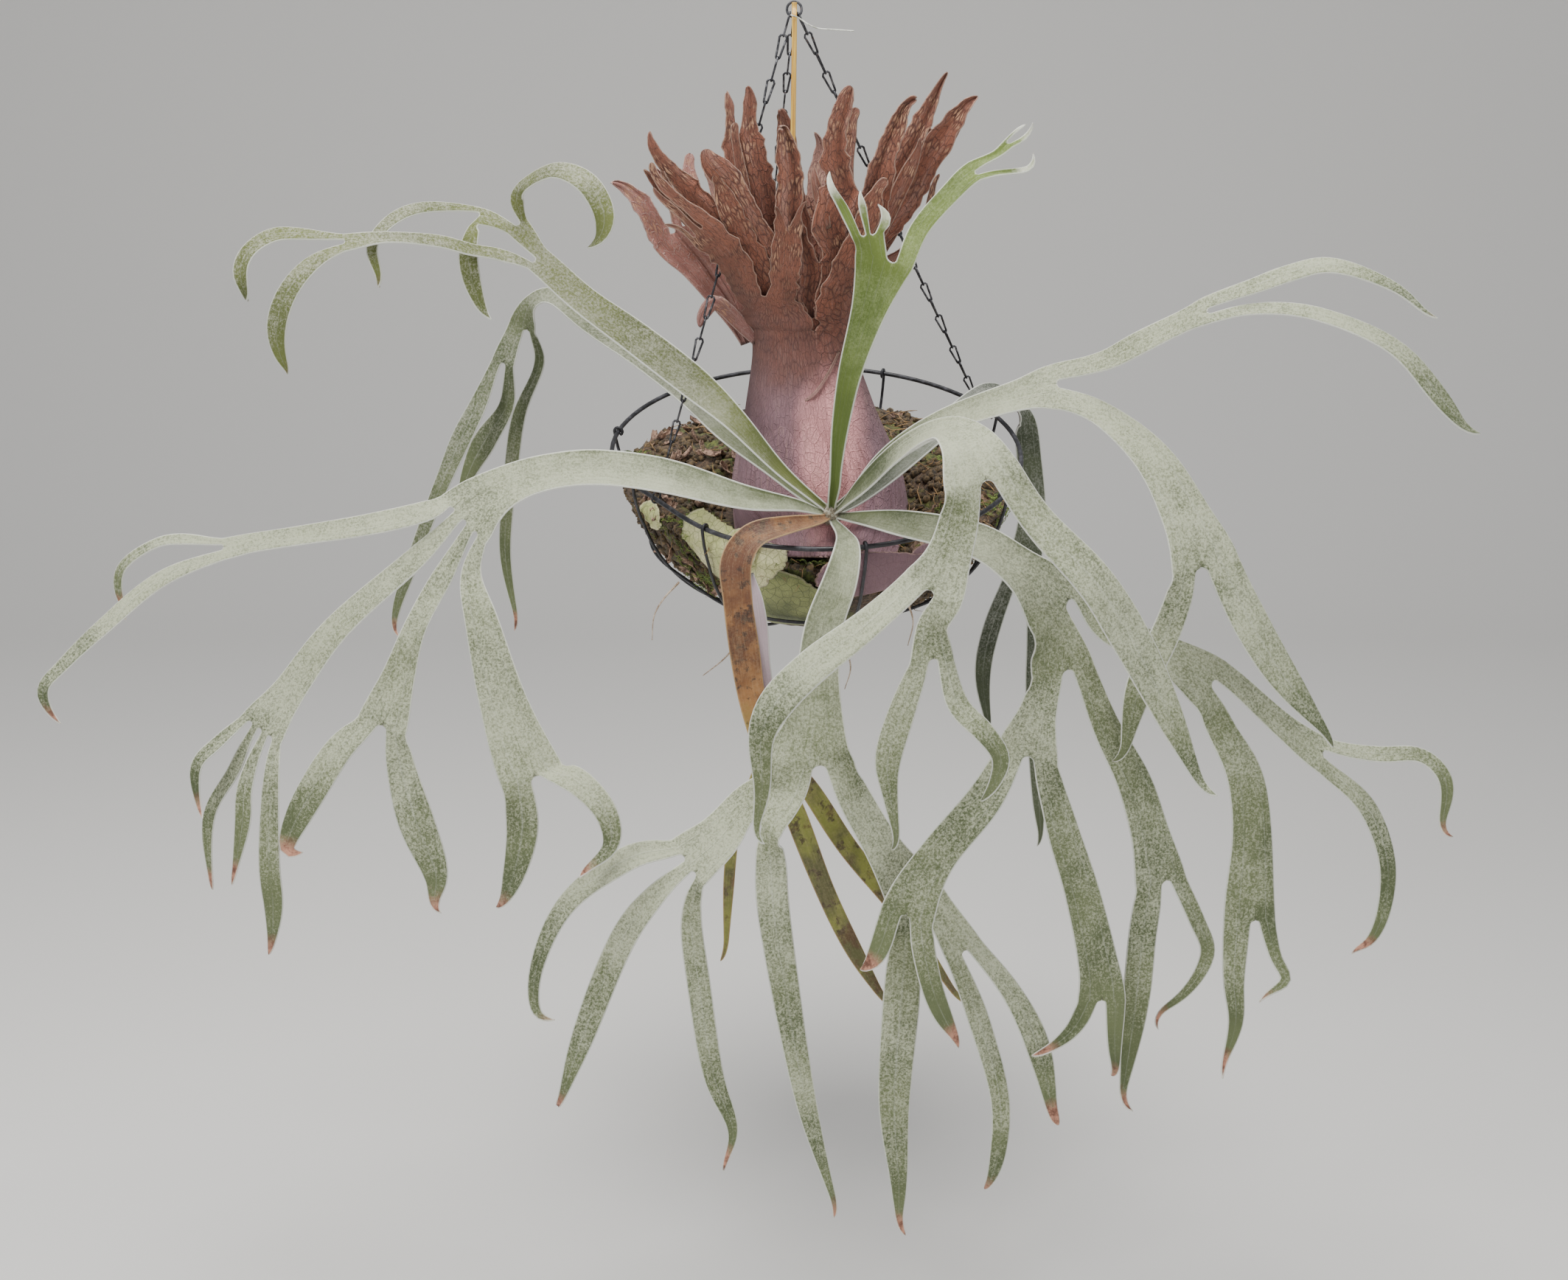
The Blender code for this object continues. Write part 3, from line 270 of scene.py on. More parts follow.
def makeFeltGrain():
    # Fine white hair in specks, with faint streaks along the blade; upward faces are made paler still, as
    # painted top light.
    tree, given, out = startEffect("feltGrain", {"Cover": 0.4, "Facing": 0.4, "Streak": 0.2, "Speckle": 0.5},
                                   "Felt", "Height", "Vein")
    coords = coordsOf(tree)
    speck = noiseAt(tree, coords["Object"], 540.0, 4.0, 0.85)
    patch = noiseAt(tree, coords["Object"], 95.0, 4.0, 0.6)
    broad = noiseAt(tree, coords["Object"], 17.0, 2.0, 0.5)
    streak = noiseAt(tree, stretch(tree, coords["UV"], 6.0, 0.16, 1.0), 1.6, 3.0, 0.6)
    # painted top light: the more a face turns upward, the more of the pale felt colour it gets
    upright = splitUp(tree, place(tree, "ShaderNodeNewGeometry").outputs["Normal"])["Z"]
    felt = maths(tree, "ADD", given["Cover"], times(tree, remap(tree, upright, -0.35, 0.85), given["Facing"]))
    for source, low, high, share in ((speck, 0.38, 0.62, given["Speckle"]), (patch, 0.3, 0.7, 0.14),
                                     (broad, 0.3, 0.7, 0.26), (streak, 0.3, 0.7, given["Streak"])):
        felt = maths(tree, "MULTIPLY_ADD", swing(tree, remap(tree, source, low, high)), share, felt)
    across = splitUp(tree, coords["UV"])["X"]
    offset = maths(tree, "ABSOLUTE", swing(tree, maths(tree, "FRACT", across)))
    vein = times(tree, remap(tree, offset, 0.0, 0.05, 1.0, 0.0), remap(tree, streak, 0.25, 0.6))
    return endEffect(tree, out, Felt=remap(tree, felt, 0.0, 1.0),
                     Height=maths(tree, "MULTIPLY_ADD", streak, 1.2, speck), Vein=vein)


def makeVeinNet():
    # A raised net of veins, long in the direction of growth, over softer papery mottling.
    inputs = {"Across": 4.0, "Along": 0.8}
    tree, given, out = startEffect("veinNet", inputs, "Net", "Cell", "Mottle", "Height")
    coords = coordsOf(tree)
    size = place(tree, "ShaderNodeCombineXYZ", X=given["Across"], Y=given["Along"], Z=1.0).outputs[0]
    sized = place(tree, "ShaderNodeVectorMath", {"operation": "MULTIPLY"})
    feed(tree, sized.inputs[0], coords["UV"])
    feed(tree, sized.inputs[1], size)
    warp = place(tree, "ShaderNodeTexNoise", Vector=sized.outputs[0], Scale=1.3, Detail=2.0)
    pushed = place(tree, "ShaderNodeVectorMath", {"operation": "MULTIPLY_ADD"})
    for target, value in zip(pushed.inputs, (warp.outputs["Color"], (0.55, 0.55, 0.0), sized.outputs[0])):
        feed(tree, target, value)
    cells, fine = [
        place(tree, "ShaderNodeTexVoronoi", {"feature": "DISTANCE_TO_EDGE", "voronoi_dimensions": "2D"},
              Vector=pushed.outputs[0], Scale=scale).outputs["Distance"] for scale in (1.0, 2.7)]
    net = maths(tree, "MAXIMUM", remap(tree, cells, 0.0, 0.08, 1.0, 0.0),
                times(tree, remap(tree, fine, 0.0, 0.12, 1.0, 0.0), 0.5))
    mottle = noiseAt(tree, coords["Object"], 62.0, 5.0, 0.65)
    grain = noiseAt(tree, coords["Object"], 700.0, 2.0, 0.6)
    middle = times(tree, remap(tree, cells, 0.1, 0.3), remap(tree, mottle, 0.46, 0.62))
    raised = maths(tree, "ADD", times(tree, net, 0.8), times(tree, grain, 0.35))
    return endEffect(tree, out, Net=net, Cell=middle, Mottle=mottle, Height=raised)


def makeBlotches():
    # Dark age spots and drying patches.
    tree, given, out = startEffect("ageBlotches", {"Size": 60.0, "Level": 0.6}, "Mask")
    spots = noiseAt(tree, coordsOf(tree)["Object"], given["Size"], 5.0, 0.7)
    return endEffect(tree, out, Mask=remap(tree, maths(tree, "SUBTRACT", spots, given["Level"]), 0.0, 0.09))


feltGrain = makeFeltGrain()
veinNet = makeVeinNet()
ageBlotches = makeBlotches()


# leaf materials

frondLook = {
    "green": rgb(96, 105, 68),
    "deepGreen": rgb(72, 82, 48),
    # the pale felt colour, laid by the felt and by the painted top light
    "felt": rgb(184, 188, 160),
    # mauve-grey underside, made darker as painted shade
    "under": rgb(122, 112, 108),
    # near-white rim colour: a painted edge highlight
    "rim": rgb(228, 230, 220),
    "tip": rgb(188, 136, 112),
    "tipDark": rgb(104, 66, 50),
    "cover": 0.24,
    # how much paler upward faces are made, a painted top light
    "facing": 0.4,
    "streak": 0.16,
    "speckle": 0.58,
    "bare": -0.46,  # how much felt the tips have lost
}


def makeFrondMaterial(name, **changes):
    look = dict(frondLook, **changes)
    material, tree, coords = startMaterial(name, 0.8, sheen=0.06)
    # greyest about the forks, thinner on the stalk and towards the tips
    age = readValue(tree, "age")
    cover = maths(tree, "ADD", remap(tree, age, 0.06, 0.36, look["cover"] - 0.16, look["cover"] + 0.14),
                  remap(tree, readValue(tree, "outer"), 0.1, 1.0, 0.0, look["bare"]))
    grain = useGroup(tree, feltGrain, Cover=cover, Facing=look["facing"], Streak=look["streak"],
                     Speckle=remap(tree, age, 0.1, 0.7, 0.2, look["speckle"]))
    broad = noiseAt(tree, coords["Object"], 13.0, 2.0)
    leaf = mixColour(tree, remap(tree, broad, 0.38, 0.62), look["green"], look["deepGreen"])
    # felt and painted top light over the leaf green
    colour = mixColour(tree, grain["Felt"], leaf, look["felt"])
    colour = lay(tree, colour, look["rim"], grain["Vein"], 0.12)
    # the underside: its own mauve-grey, darkened as painted shade
    under = lay(tree, look["under"], look["felt"], grain["Felt"], 0.7)
    colour = lay(tree, colour, under, readValue(tree, "under"), 0.85)
    speck = noiseAt(tree, coords["Object"], 150.0, 4.0, 0.7)
    tipColour = mixColour(tree, remap(tree, speck, 0.4, 0.66), look["tip"], look["tipDark"])
    tips = maths(tree, "MULTIPLY_ADD", swing(tree, speck), 0.5, readValue(tree, "tip"))
    colour = mixColour(tree, remap(tree, tips, 0.22, 0.52), colour, tipColour)
    # painted edge highlight along the rim
    colour = layRim(tree, colour, look["rim"], 0.8, 0.02, 0.13)
    height = maths(tree, "MULTIPLY_ADD", grain["Vein"], 0.8, grain["Height"])
    return finishMaterial(material, colour, height, 0.0006, 0.6)


def makeBrownMaterial():
    # The oldest frond: dried tan above, still mottled olive in its lobes.
    material, tree, coords = startMaterial("driedFrond", 0.7, sheen=0.05)
    broad = noiseAt(tree, coords["Object"], 26.0, 4.0, 0.6)
    height = maths(tree, "ADD", splitUp(tree, coords["Object"])["Z"], times(tree, swing(tree, broad), 0.16))
    tan = mixColour(tree, remap(tree, broad, 0.36, 0.62), rgb(172, 122, 72), rgb(106, 66, 40))
    olive = mixColour(tree, remap(tree, broad, 0.4, 0.6), rgb(140, 144, 66), rgb(92, 92, 54))
    colour = mixColour(tree, remap(tree, height, -0.60, -0.54, 1.0, 0.0), tan, olive)
    bend = times(tree, remap(tree, height, -0.47, -0.425), remap(tree, height, -0.405, -0.38, 1.0, 0.0))
    colour = lay(tree, colour, rgb(70, 40, 40), bend, remap(tree, broad, 0.4, 0.56, 0.9, 0.25))
    colour = lay(tree, colour, rgb(88, 52, 36), spotsOf(tree, 34.0, 0.52), 0.7)
    colour = lay(tree, colour, rgb(56, 38, 30), spotsOf(tree, 95.0, 0.53), 0.85)
    # felt dusting, with painted top light on upward faces
    grain = useGroup(tree, feltGrain, Cover=0.25, Facing=0.3, Streak=0.5)
    colour = lay(tree, colour, rgb(214, 190, 150), grain["Felt"], 0.18)
    colour = lay(tree, colour, rgb(190, 172, 172), readValue(tree, "under"), 0.75)
    colour = layRim(tree, colour, rgb(206, 172, 120), 0.5, 0.02, 0.12)
    return finishMaterial(material, colour, grain["Height"], 0.0006, 0.6)


shieldLook = {
    "mauve": rgb(158, 122, 132),
    "neck": rgb(122, 86, 84),
    # the colour of the painted pool of light on the foot
    "warm": rgb(244, 172, 172),
    "brown": rgb(160, 98, 74),
    "dark": rgb(84, 44, 34),
    "net": rgb(58, 30, 24),
    "fleck": rgb(226, 174, 136),
    "pale": rgb(190, 152, 142),
    # rim colour: a painted edge highlight
    "rim": rgb(206, 170, 150),
    "turnZ": (-0.315, -0.19),  # from mauve at the foot to brown lobes, in metres
    "glow": {"X": (0.030, 0.032), "Z": (-0.345, 0.075)},  # a painted pool of warm light on the middle of the foot: place and half width
}


def makeShieldMaterial(name, netShare=0.8, across=7.0, along=1.1, **changes):
    look = dict(shieldLook, **changes)
    material, tree, coords = startMaterial(name, 0.84, sheen=0.08)
    spot = splitUp(tree, coords["Object"])
    veins = useGroup(tree, veinNet, Across=across, Along=along)
    broad = noiseAt(tree, coords["Object"], 20.0, 3.0, 0.6)
    fibre = noiseAt(tree, stretch(tree, coords["UV"], 13.0, 0.3, 1.0), 1.5, 4.0, 0.65)
    height = maths(tree, "MULTIPLY_ADD", swing(tree, broad), 0.1, spot["Z"])
    upper = remap(tree, height, *look["turnZ"])
    # painted pool of light: round the glow's middle the foot turns to the warm colour
    away = []
    for axis, (middle, half) in look["glow"].items():
        part = maths(tree, "DIVIDE", maths(tree, "SUBTRACT", spot[axis], middle), half)
        away.append(times(tree, part, part))
    glow = maths(tree, "MULTIPLY_ADD", broad, 1.2, maths(tree, "ADD", *away))
    foot = mixColour(tree, remap(tree, height, -0.36, -0.26), look["mauve"], look["neck"])
    foot = mixColour(tree, remap(tree, glow, 0.7, 1.9, 1.0, 0.0), foot, look["warm"])
    lobes = mixColour(tree, remap(tree, veins["Mottle"], 0.36, 0.66), look["brown"], look["dark"])
    colour = mixColour(tree, upper, foot, mixColour(tree, 0.7, look["brown"], lobes))
    # painted highlight on the pleat ridges and painted shade in the grooves, mixed with the real fibre
    # streaks
    ridge = readValue(tree, "ridge")
    ridgeHighlight = remap(tree, maths(tree, "MULTIPLY_ADD", ridge, 0.25, fibre), 0.5, 0.72)
    colour = lay(tree, colour, look["pale"], ridgeHighlight, 0.34)
    grooveShade = remap(tree, maths(tree, "MULTIPLY_ADD", ridge, 0.4, fibre), 0.22, 0.46, 1.0, 0.0)
    colour = lay(tree, colour, look["dark"], grooveShade, 0.45)
    outer = maths(tree, "MULTIPLY_ADD", remap(tree, readValue(tree, "outer"), 0.1, 0.75), 0.7, 0.2)
    colour = lay(tree, colour, look["fleck"], times(tree, veins["Cell"], outer), upper)
    netted = maths(tree, "MULTIPLY_ADD", upper, netShare * 0.7, netShare * 0.08)
    colour = lay(tree, colour, look["net"], veins["Net"], netted)
    colour = lay(tree, colour, look["pale"], readValue(tree, "under"), 0.4)
    # painted edge highlight along the rim
    colour = layRim(tree, colour, look["rim"], 0.75, 0.0, 0.12)
    height = maths(tree, "MULTIPLY_ADD", fibre, 1.8, veins["Height"])
    return finishMaterial(material, colour, height, 0.0016, 0.8)


def makeYoungShieldMaterial(name, light, dark, net):
    # Young shields: a greener net on a pale ground, with a thin bright rim.
    material, tree, coords = startMaterial(name, 0.7, sheen=0.1)
    veins = useGroup(tree, veinNet, Across=1.3, Along=1.3)
    colour = mixColour(tree, remap(tree, noiseAt(tree, coords["Object"], 30.0, 3.0), 0.35, 0.65), light, dark)
    colour = lay(tree, colour, net, veins["Net"], 0.6)
    colour = lay(tree, colour, rgb(120, 84, 52), spotsOf(tree, 90.0, 0.62), 0.6)
    colour = layRim(tree, colour, rgb(222, 214, 178), 0.5, 0.0, 0.25)
    return finishMaterial(material, colour, veins["Height"], 0.0008, 0.6)


def makeWornMaterial(name, rough, grain, tones, spots, bump, metal=0.0, shine=None, stretched=None):
    # grain: size, detail, roughness; tones: low, high and two colours; spots: size, level, share, colour
    material, tree, coords = startMaterial(name, rough, metal=metal)
    vector = stretch(tree, coords["Object"], *stretched) if stretched else coords["Object"]
    worn = noiseAt(tree, vector, *grain)
    low, high, *colours = tones
    colour = mixColour(tree, remap(tree, worn, low, high), *colours)
    if spots:
        size, level, share, spotColour = spots
        colour = lay(tree, colour, spotColour, spotsOf(tree, size, level), share)
    return finishMaterial(material, colour, worn, *bump, remap(tree, worn, *shine) if shine else None)


def makeScrapMaterial(name, light, dark, scale):
    # bits strewn over the ball: each takes its tone from where it lies
    material, tree, coords = startMaterial(name, 0.85, sheen=0.08)
    tone = noiseAt(tree, coords["Object"], scale, 3.0, 0.7)
    grain = noiseAt(tree, coords["Object"], 900.0, 2.0, 0.6)
    both = maths(tree, "ADD", times(tree, tone, 0.7), times(tree, grain, 0.3))
    colour = mixColour(tree, remap(tree, both, 0.38, 0.62), dark, light)
    return finishMaterial(material, colour, grain, 0.0003, 0.5)


# blades: a tree of strips, each fork sharing its last row among the lobes


def forked(*rows):
    # each row is how many forks up it starts, then its stations; it grows from the last row one fork below it
    below = []
    for level, *stations in rows:
        branch = {"stations": stations, "kids": []}
        del below[level:]
        if below:
            below[-1]["kids"].append(branch)
        below.append(branch)
    return below[0]


def readStation(values):
    # x, y, z, width and, where it matters, roll and wrap in degrees
    x, y, z, width, roll, wrap = (*values, 0.0, 0.0)[:6]
    return Vector((x, y, z)), width, roll, wrap


def splineAt(knots, index, t):
    before, first, last, after = knots[index:index + 4]
    bend = 2 * before - 5 * first + 4 * last - after
    twist = 3 * (first - last) + after - before
    return 0.5 * (2 * first + t * (last - before) + t * t * bend + t * t * t * twist)


def lookOf(tangent, roll, face):
    normal = (face - face.dot(tangent) * tangent).normalized()
    return Matrix.Rotation(math.radians(roll), 3, tangent) @ normal


def crossRow(centre, tangent, width, roll, wrap, edges, face):
    if wrap >= levelWrap:
        normal = Matrix.Rotation(math.radians(roll), 3, "Z") @ Vector((0, -1, 0))
        side = Vector((0, 0, 1)).cross(normal)
    else:
        normal = lookOf(tangent, roll, face)
        side = tangent.cross(normal)
    half = math.radians(abs(wrap)) / 2
    if half < 0.03:
        return [centre + side * (s * width / 2) for s in edges], normal
    radius = width / 2 / math.sin(min(half, math.pi / 2))
    toward = math.copysign(1.0, wrap)
    row = []
    for s in edges:
        drop = radius * (1 - math.cos(s * half)) * toward
        row.append(centre + side * (radius * math.sin(s * half)) - normal * drop)
    return row, normal


def orderKids(branch, before, face):
    points = [readStation(s)[0] for s in branch["stations"]]
    last = points[-1]
    tangent = (last - (points[-2] if len(points) > 1 else before)).normalized()
    side = tangent.cross(lookOf(tangent, readStation(branch["stations"][-1])[2], face))
    branch["kids"].sort(key=lambda kid: (readStation(kid["stations"][0])[0] - last).normalized().dot(side))
    for kid in branch["kids"]:
        orderKids(kid, last, face)


def tipWidths(branch):
    # each tip's share of the branch's width
    if not branch["kids"]:
        return [1.0]
    total = sum(readStation(kid["stations"][0])[1] for kid in branch["kids"])
    return [readStation(kid["stations"][0])[1] / total * w for kid in branch["kids"] for w in tipWidths(kid)]


def rowPlaces(length, step, isKid, isTip):
    marks = [0.0]
    if isKid:
        marks += [m for m in (0.07, 0.18, 0.34, 0.56, 0.86, 1.2) if m < length * 0.5]
    close = [0.95, 0.62, 0.36, 0.18, 0.07, 0.0] if isTip else [0.0]
    close = [c for c in close if c < length - marks[-1] - 0.05]
    gap = length - close[0] - marks[-1]
    count = max(1, round(gap / step))
    start = marks[-1]
    marks += [start + gap * k / count for k in range(1, count + 1)]
    return marks + [length - c for c in close[1:]]


def growBranch(branch, sheet, firstRow, before, face, cut, lane, run):
    stations = [readStation(s) for s in branch["stations"]]
    edges = [-1.0]
    lanes = [lane]
    for share in tipWidths(branch):
        left = edges[-1]
        for k in range(1, cut["columns"] + 1):
            edges.append(left + share * (1 - math.cos(math.pi * k / cut["columns"])))
            lanes.append(lanes[-1] + (math.cos(math.pi * (k - 1) / cut["columns"])
                                      - math.cos(math.pi * k / cut["columns"])) / 2)
    isKid = firstRow is not None
    isTip = not branch["kids"]
    if isKid:
        cornerA, cornerB = sheet["verts"][firstRow[0]], sheet["verts"][firstRow[-1]]
        points = [(cornerA + cornerB) / 2] + [s[0] for s in stations]
        values = [((cornerB - cornerA).length, stations[0][2], stations[0][3])] + [s[1:] for s in stations]
    else:
        points = [s[0] for s in stations]
        values = [s[1:] for s in stations]
    if isTip:
        points[-1] = points[-1] + (points[-1] - points[-2]).normalized() * 0.15
    lead = (points[0] - before) if before is not None else (points[1] - points[0])
    lead = lead.normalized() * (points[1] - points[0]).length
    onward = points[-1] * 2 - points[-2]
    if branch["kids"]:
        starts = [readStation(kid["stations"][0])[0] for kid in branch["kids"]]
        ahead = sum(starts, Vector()) / len(starts)
        onward = points[-1] + (ahead - points[-1]).normalized() * (points[-1] - points[-2]).length
    track = [points[0] - lead, *points, onward]
    sizes = [values[0]] + values + [values[-1]]
    fine = []
    for i in range(len(points) - 1):
        for k in range(24):
            t = k / 24
            width = splineAt([s[0] for s in sizes], i, t)
            low, high = sorted((values[i][0], values[i + 1][0]))
            width = min(max(width, 0.9 * low), 1.08 * high)
            ease = smoothStep(t)
            roll = values[i][1] + (values[i + 1][1] - values[i][1]) * ease
            wrap = values[i][2] + (values[i + 1][2] - values[i][2]) * ease
            fine.append((splineAt(track, i, t), width, roll, wrap))
    fine.append((points[-1], *values[-1]))
    for _ in range(cut["smooth"]):
        fine[1:-1] = [((a[0] + b[0] * 2 + c[0]) / 4, *b[1:]) for a, b, c in zip(fine, fine[1:], fine[2:])]
    if isTip and cut["curl"]:
        fine = curlTip(fine, face, cut, sheet["draw"])
    reach = [0.0]
    for a, b in zip(fine, fine[1:]):
        reach.append(reach[-1] + (b[0] - a[0]).length)
    length = reach[-1]
    row = firstRow
    laid = []
    at = 0
    origin = None
    span = 1.0
    for travelled in rowPlaces(length, cut["row"], isKid, isTip):
        while at < len(reach) - 2 and reach[at + 1] < travelled:
            at += 1
        t = min(1.0, (travelled - reach[at]) / max(reach[at + 1] - reach[at], 1e-6))
        centre = fine[at][0].lerp(fine[at + 1][0], t)
        width, roll, wrap = (a + (b - a) * t for a, b in zip(fine[at][1:], fine[at + 1][1:]))
        tangent = (fine[min(at + 3, len(fine) - 1)][0] - fine[max(at - 2, 0)][0]).normalized()
        if cut["jag"] and isKid:
            spot = Vector((travelled * 1.3, run * 0.7, lane)) + sheet["offset"]
            width *= 1 + cut["jag"] * noise.noise(spot)
        if isTip:
            part = travelled / length
            width *= 1 - cut["waist"] * math.sin(math.pi * min(1.0, part * 1.05)) ** 2
            if values[-1][0] > 0.32:
                width = max(width, min(cut["leastTip"], 1.7 * values[-1][0]))
            near = (travelled - (length - cut["blunt"])) / cut["blunt"]
            if near > 0:
                width *= max(0.02, (1 - near ** 2.4)) ** 0.6
        if travelled == 0.0:
            if not isKid:
                own, normal = crossRow(centre, tangent, width, roll, wrap, edges, face)
                row = addRow(sheet, own, edges, lanes, run, normal, cut, 0.0)
            origin = [sheet["verts"][v] - centre for v in row]
            span = max((origin[-1] - origin[0]).length, 0.1)
            laid.append((travelled, row))
            continue
        own, normal = crossRow(centre, tangent, width, roll, wrap, edges, face)
        if isKid:
            blend = smoothStep(travelled / (0.7 * span + 0.3))
            own = [(centre + o * (width / span)).lerp(p, blend) for o, p in zip(origin, own)]
            own = roundSinus(own, edges, travelled, span, branch, cut)
        grown = smoothStep(travelled / 2.0) if isKid else 1.0
        fresh = addRow(sheet, own, edges, lanes, run + travelled, normal, cut, grown)
        for j in range(len(fresh) - 1):
            sheet["faces"].append((row[j], row[j + 1], fresh[j + 1], fresh[j]))
        row = fresh
        laid.append((travelled, row))
    if isTip:
        strength = 0.5 + 0.5 * sheet["draw"].random()
        for travelled, ownRow in laid:
            for v in ownRow:
                sheet["left"].setdefault(v, (length - travelled, strength))
        return
    start = 0
    earlier = [past for travelled, past in laid if travelled < length - 0.9] or [laid[0][1]]
    for index, kid in enumerate(branch["kids"]):
        kid["inner"] = (index > 0, index < len(branch["kids"]) - 1)
        count = len(tipWidths(kid)) * cut["columns"]
        prior = (sheet["verts"][earlier[-1][start]] + sheet["verts"][earlier[-1][start + count]]) / 2
        growBranch(kid, sheet, row[start:start + count + 1], prior, face, cut, lanes[start], run + length)
        start += count
    # how far it still is to the tips, evened out across the blade below a fork
    ends = [sheet["left"][v] for v in row]
    mean = sum(away for away, _ in ends) / len(ends)
    for travelled, ownRow in laid[:-1]:
        past = length - travelled
        for (away, strength), v in zip(ends, ownRow):
            even = away + (mean - away) * smoothStep(past / 4)
            sheet["left"].setdefault(v, (even + past, strength))


def curlTip(fine, face, cut, draw):
    # the last stretch rolls over, each tip its own way
    turn = math.radians(draw.uniform(0.15, 1.0) * cut["curl"]) * draw.choice((-1, 1))
    lean = draw.uniform(0.2, 0.8)
    left = 0.0
    start = len(fine) - 1
    while start > 1 and left < cut["curlReach"]:
        left += (fine[start][0] - fine[start - 1][0]).length
        start -= 1
    curled = list(fine)
    for k in range(start, len(fine) - 1):
        tangent = (curled[k + 1][0] - curled[k][0]).normalized()
        normal = lookOf(tangent, fine[k][2], face)
        axis = tangent.cross(normal) * (1 - lean) + normal * lean
        bend = Matrix.Rotation(turn * 2 * (k - start) / (len(fine) - start) ** 2, 3, axis.normalized())
        pivot = curled[k][0]
        curled[k + 1:] = [(pivot + bend @ (c[0] - pivot), *c[1:]) for c in curled[k + 1:]]
    return curled


def addRow(sheet, own, edges, lanes, run, normal, cut, share):
    base = len(sheet["verts"])
    for point, s, lane in zip(own, edges, lanes):
        lift = noise.noise(point * cut["waveScale"] + sheet["offset"])
        lift *= cut["wave"] * (0.3 + 0.7 * abs(s)) * share
        ridge = 0.0
        if cut["pleat"]:
            across = Vector((lane * cut["pleatCount"], run * 0.05, 0)) + sheet["offset"]
            ridge = noise.noise(across) + 0.4 * noise.noise(across * 2.7)
            lift += cut["pleat"] * share * ridge
        sheet["verts"].append(point + normal * lift)
        sheet["flow"].append((lane, run))
        sheet["ridge"].append(ridge)
    return list(range(base, base + len(own)))


def roundSinus(own, edges, travelled, span, branch, cut):
    # the gap between two lobes opens at once, so that the fork is round and not a slit, and closes up slowly
    radius = min(cut["sinus"], cut["sinusShare"] * span + 0.06)
    rise = min(1.0, travelled / (0.9 * radius))
    pull = radius * math.sqrt(1 - (1 - rise) ** 2) * (1 - smoothStep(travelled / (3.2 * span + 1.0)))
    if pull < 0.004:
        return own
    left, right = branch["inner"]
    moved = []
    for j, (point, s) in enumerate(zip(own, edges)):
        across = (own[min(j + 1, len(own) - 1)] - own[max(j - 1, 0)]).normalized()
        shift = 0.0
        if left:
            shift += pull * max(0.0, (1 - s) / 2) ** 1.3
        if right:
            shift -= pull * max(0.0, (1 + s) / 2) ** 1.3
        moved.append(point + across * shift)
    return moved


def closeBlade(sheet, cut):
    # gives the sheet its thickness, thinned to nothing at its edge, and notes rim, tip and underside
    verts, faces = sheet["verts"], sheet["faces"]
    normals = [Vector() for _ in verts]
    uses = {}
    for face in faces:
        a, b, c, d = (verts[v] for v in face)
        normal = (c - a).cross(d - b)
        for v in face:
            normals[v] += normal
        for e in zip(face, face[1:] + face[:1]):
            key = (min(e), max(e))
            uses[key] = uses.get(key, 0) + 1
    rimPoints = []
    onRim = set()
    for (a, b), count in uses.items():
        if count == 1:
            onRim.update((a, b))
            steps = max(1, int((verts[b] - verts[a]).length / 0.12))
            rimPoints += [verts[a].lerp(verts[b], k / steps) for k in range(steps)]
    tree = KDTree(len(rimPoints))
    for index, point in enumerate(rimPoints):
        tree.insert(point, index)
    tree.balance()
    front, back, rims = [], [], []
    lower = {}
    for index, (point, normal) in enumerate(zip(verts, normals)):
        distance = 0.0 if index in onRim else tree.find(point)[2]
        inner = 1 - min(1.0, distance / cut["rim"])
        swell = 1 + cut["swell"] * math.exp(-((distance - 0.13) / 0.07) ** 2)
        half = cut["thick"] / 2 * math.sqrt(max(0.0, 1 - inner * inner)) * swell
        normal.normalize()
        front.append(point + normal * half)
        rims.append(distance)
        if index in onRim:
            lower[index] = index
        else:
            lower[index] = len(verts) + len(back)
            back.append(point - normal * half)
    backIndex = [i for i in range(len(verts)) if i not in onRim]
    allVerts = front + back
    allFaces = [tuple(f) for f in faces] + [tuple(lower[v] for v in reversed(f)) for f in faces]
    flow = sheet["flow"] + [sheet["flow"][i] for i in backIndex]
    ridge = sheet["ridge"] + [sheet["ridge"][i] for i in backIndex]
    rims = rims + [rims[i] for i in backIndex]
    under = [0.5 if i in onRim else 0.0 for i in range(len(verts))] + [1.0] * len(back)
    left = [sheet["left"][i] for i in list(range(len(verts))) + backIndex]
    values = {
        "rim": rims, "under": under, "ridge": ridge,
        "tip": [max(0.0, 1 - away / cut["tipReach"]) * strength * cut["tipShare"] for away, strength in left],
        "outer": [max(0.0, 1 - away / cut["outerReach"]) for away, _ in left],
        "age": [min(1.0, run / cut["grown"]) for _, run in flow],
    }
    return allVerts, allFaces, flow, values


def makeBlade(name, tree, face, cut, material, before=None, seed=None):
    orderKids(tree, readStation(tree["stations"][0])[0], face)
    draw = random.Random(seed or name)
    offset = Vector((draw.uniform(0, 50), draw.uniform(0, 50), draw.uniform(0, 50)))
    sheet = {"verts": [], "faces": [], "flow": [], "ridge": [], "left": {}, "draw": draw, "offset": offset}
    growBranch(tree, sheet, None, before, face, cut, 0.0, 0.0)
    verts, faces, flow, values = closeBlade(sheet, cut)
    return makePiece(name, verts, faces, material, flow, values)


# the fronds

frondCut = {
    "waist": 0.0, "leastTip": 0.0, "curl": 110.0, "curlReach": 2.6,
    "row": 0.42, "columns": 8,
    "thick": 0.15, "rim": 0.08, "swell": 0.3, "sinus": 0.55, "sinusShare": 0.11, "jag": 0.0, "blunt": 1.1,
    "wave": 0.2, "waveScale": 0.16, "smooth": 30,
    "pleat": 0.0, "pleatCount": 0.0,
    "tipReach": 3.6, "tipShare": 0.85, "outerReach": 13.0, "grown": 40.0,
    "gutter": 80,
}

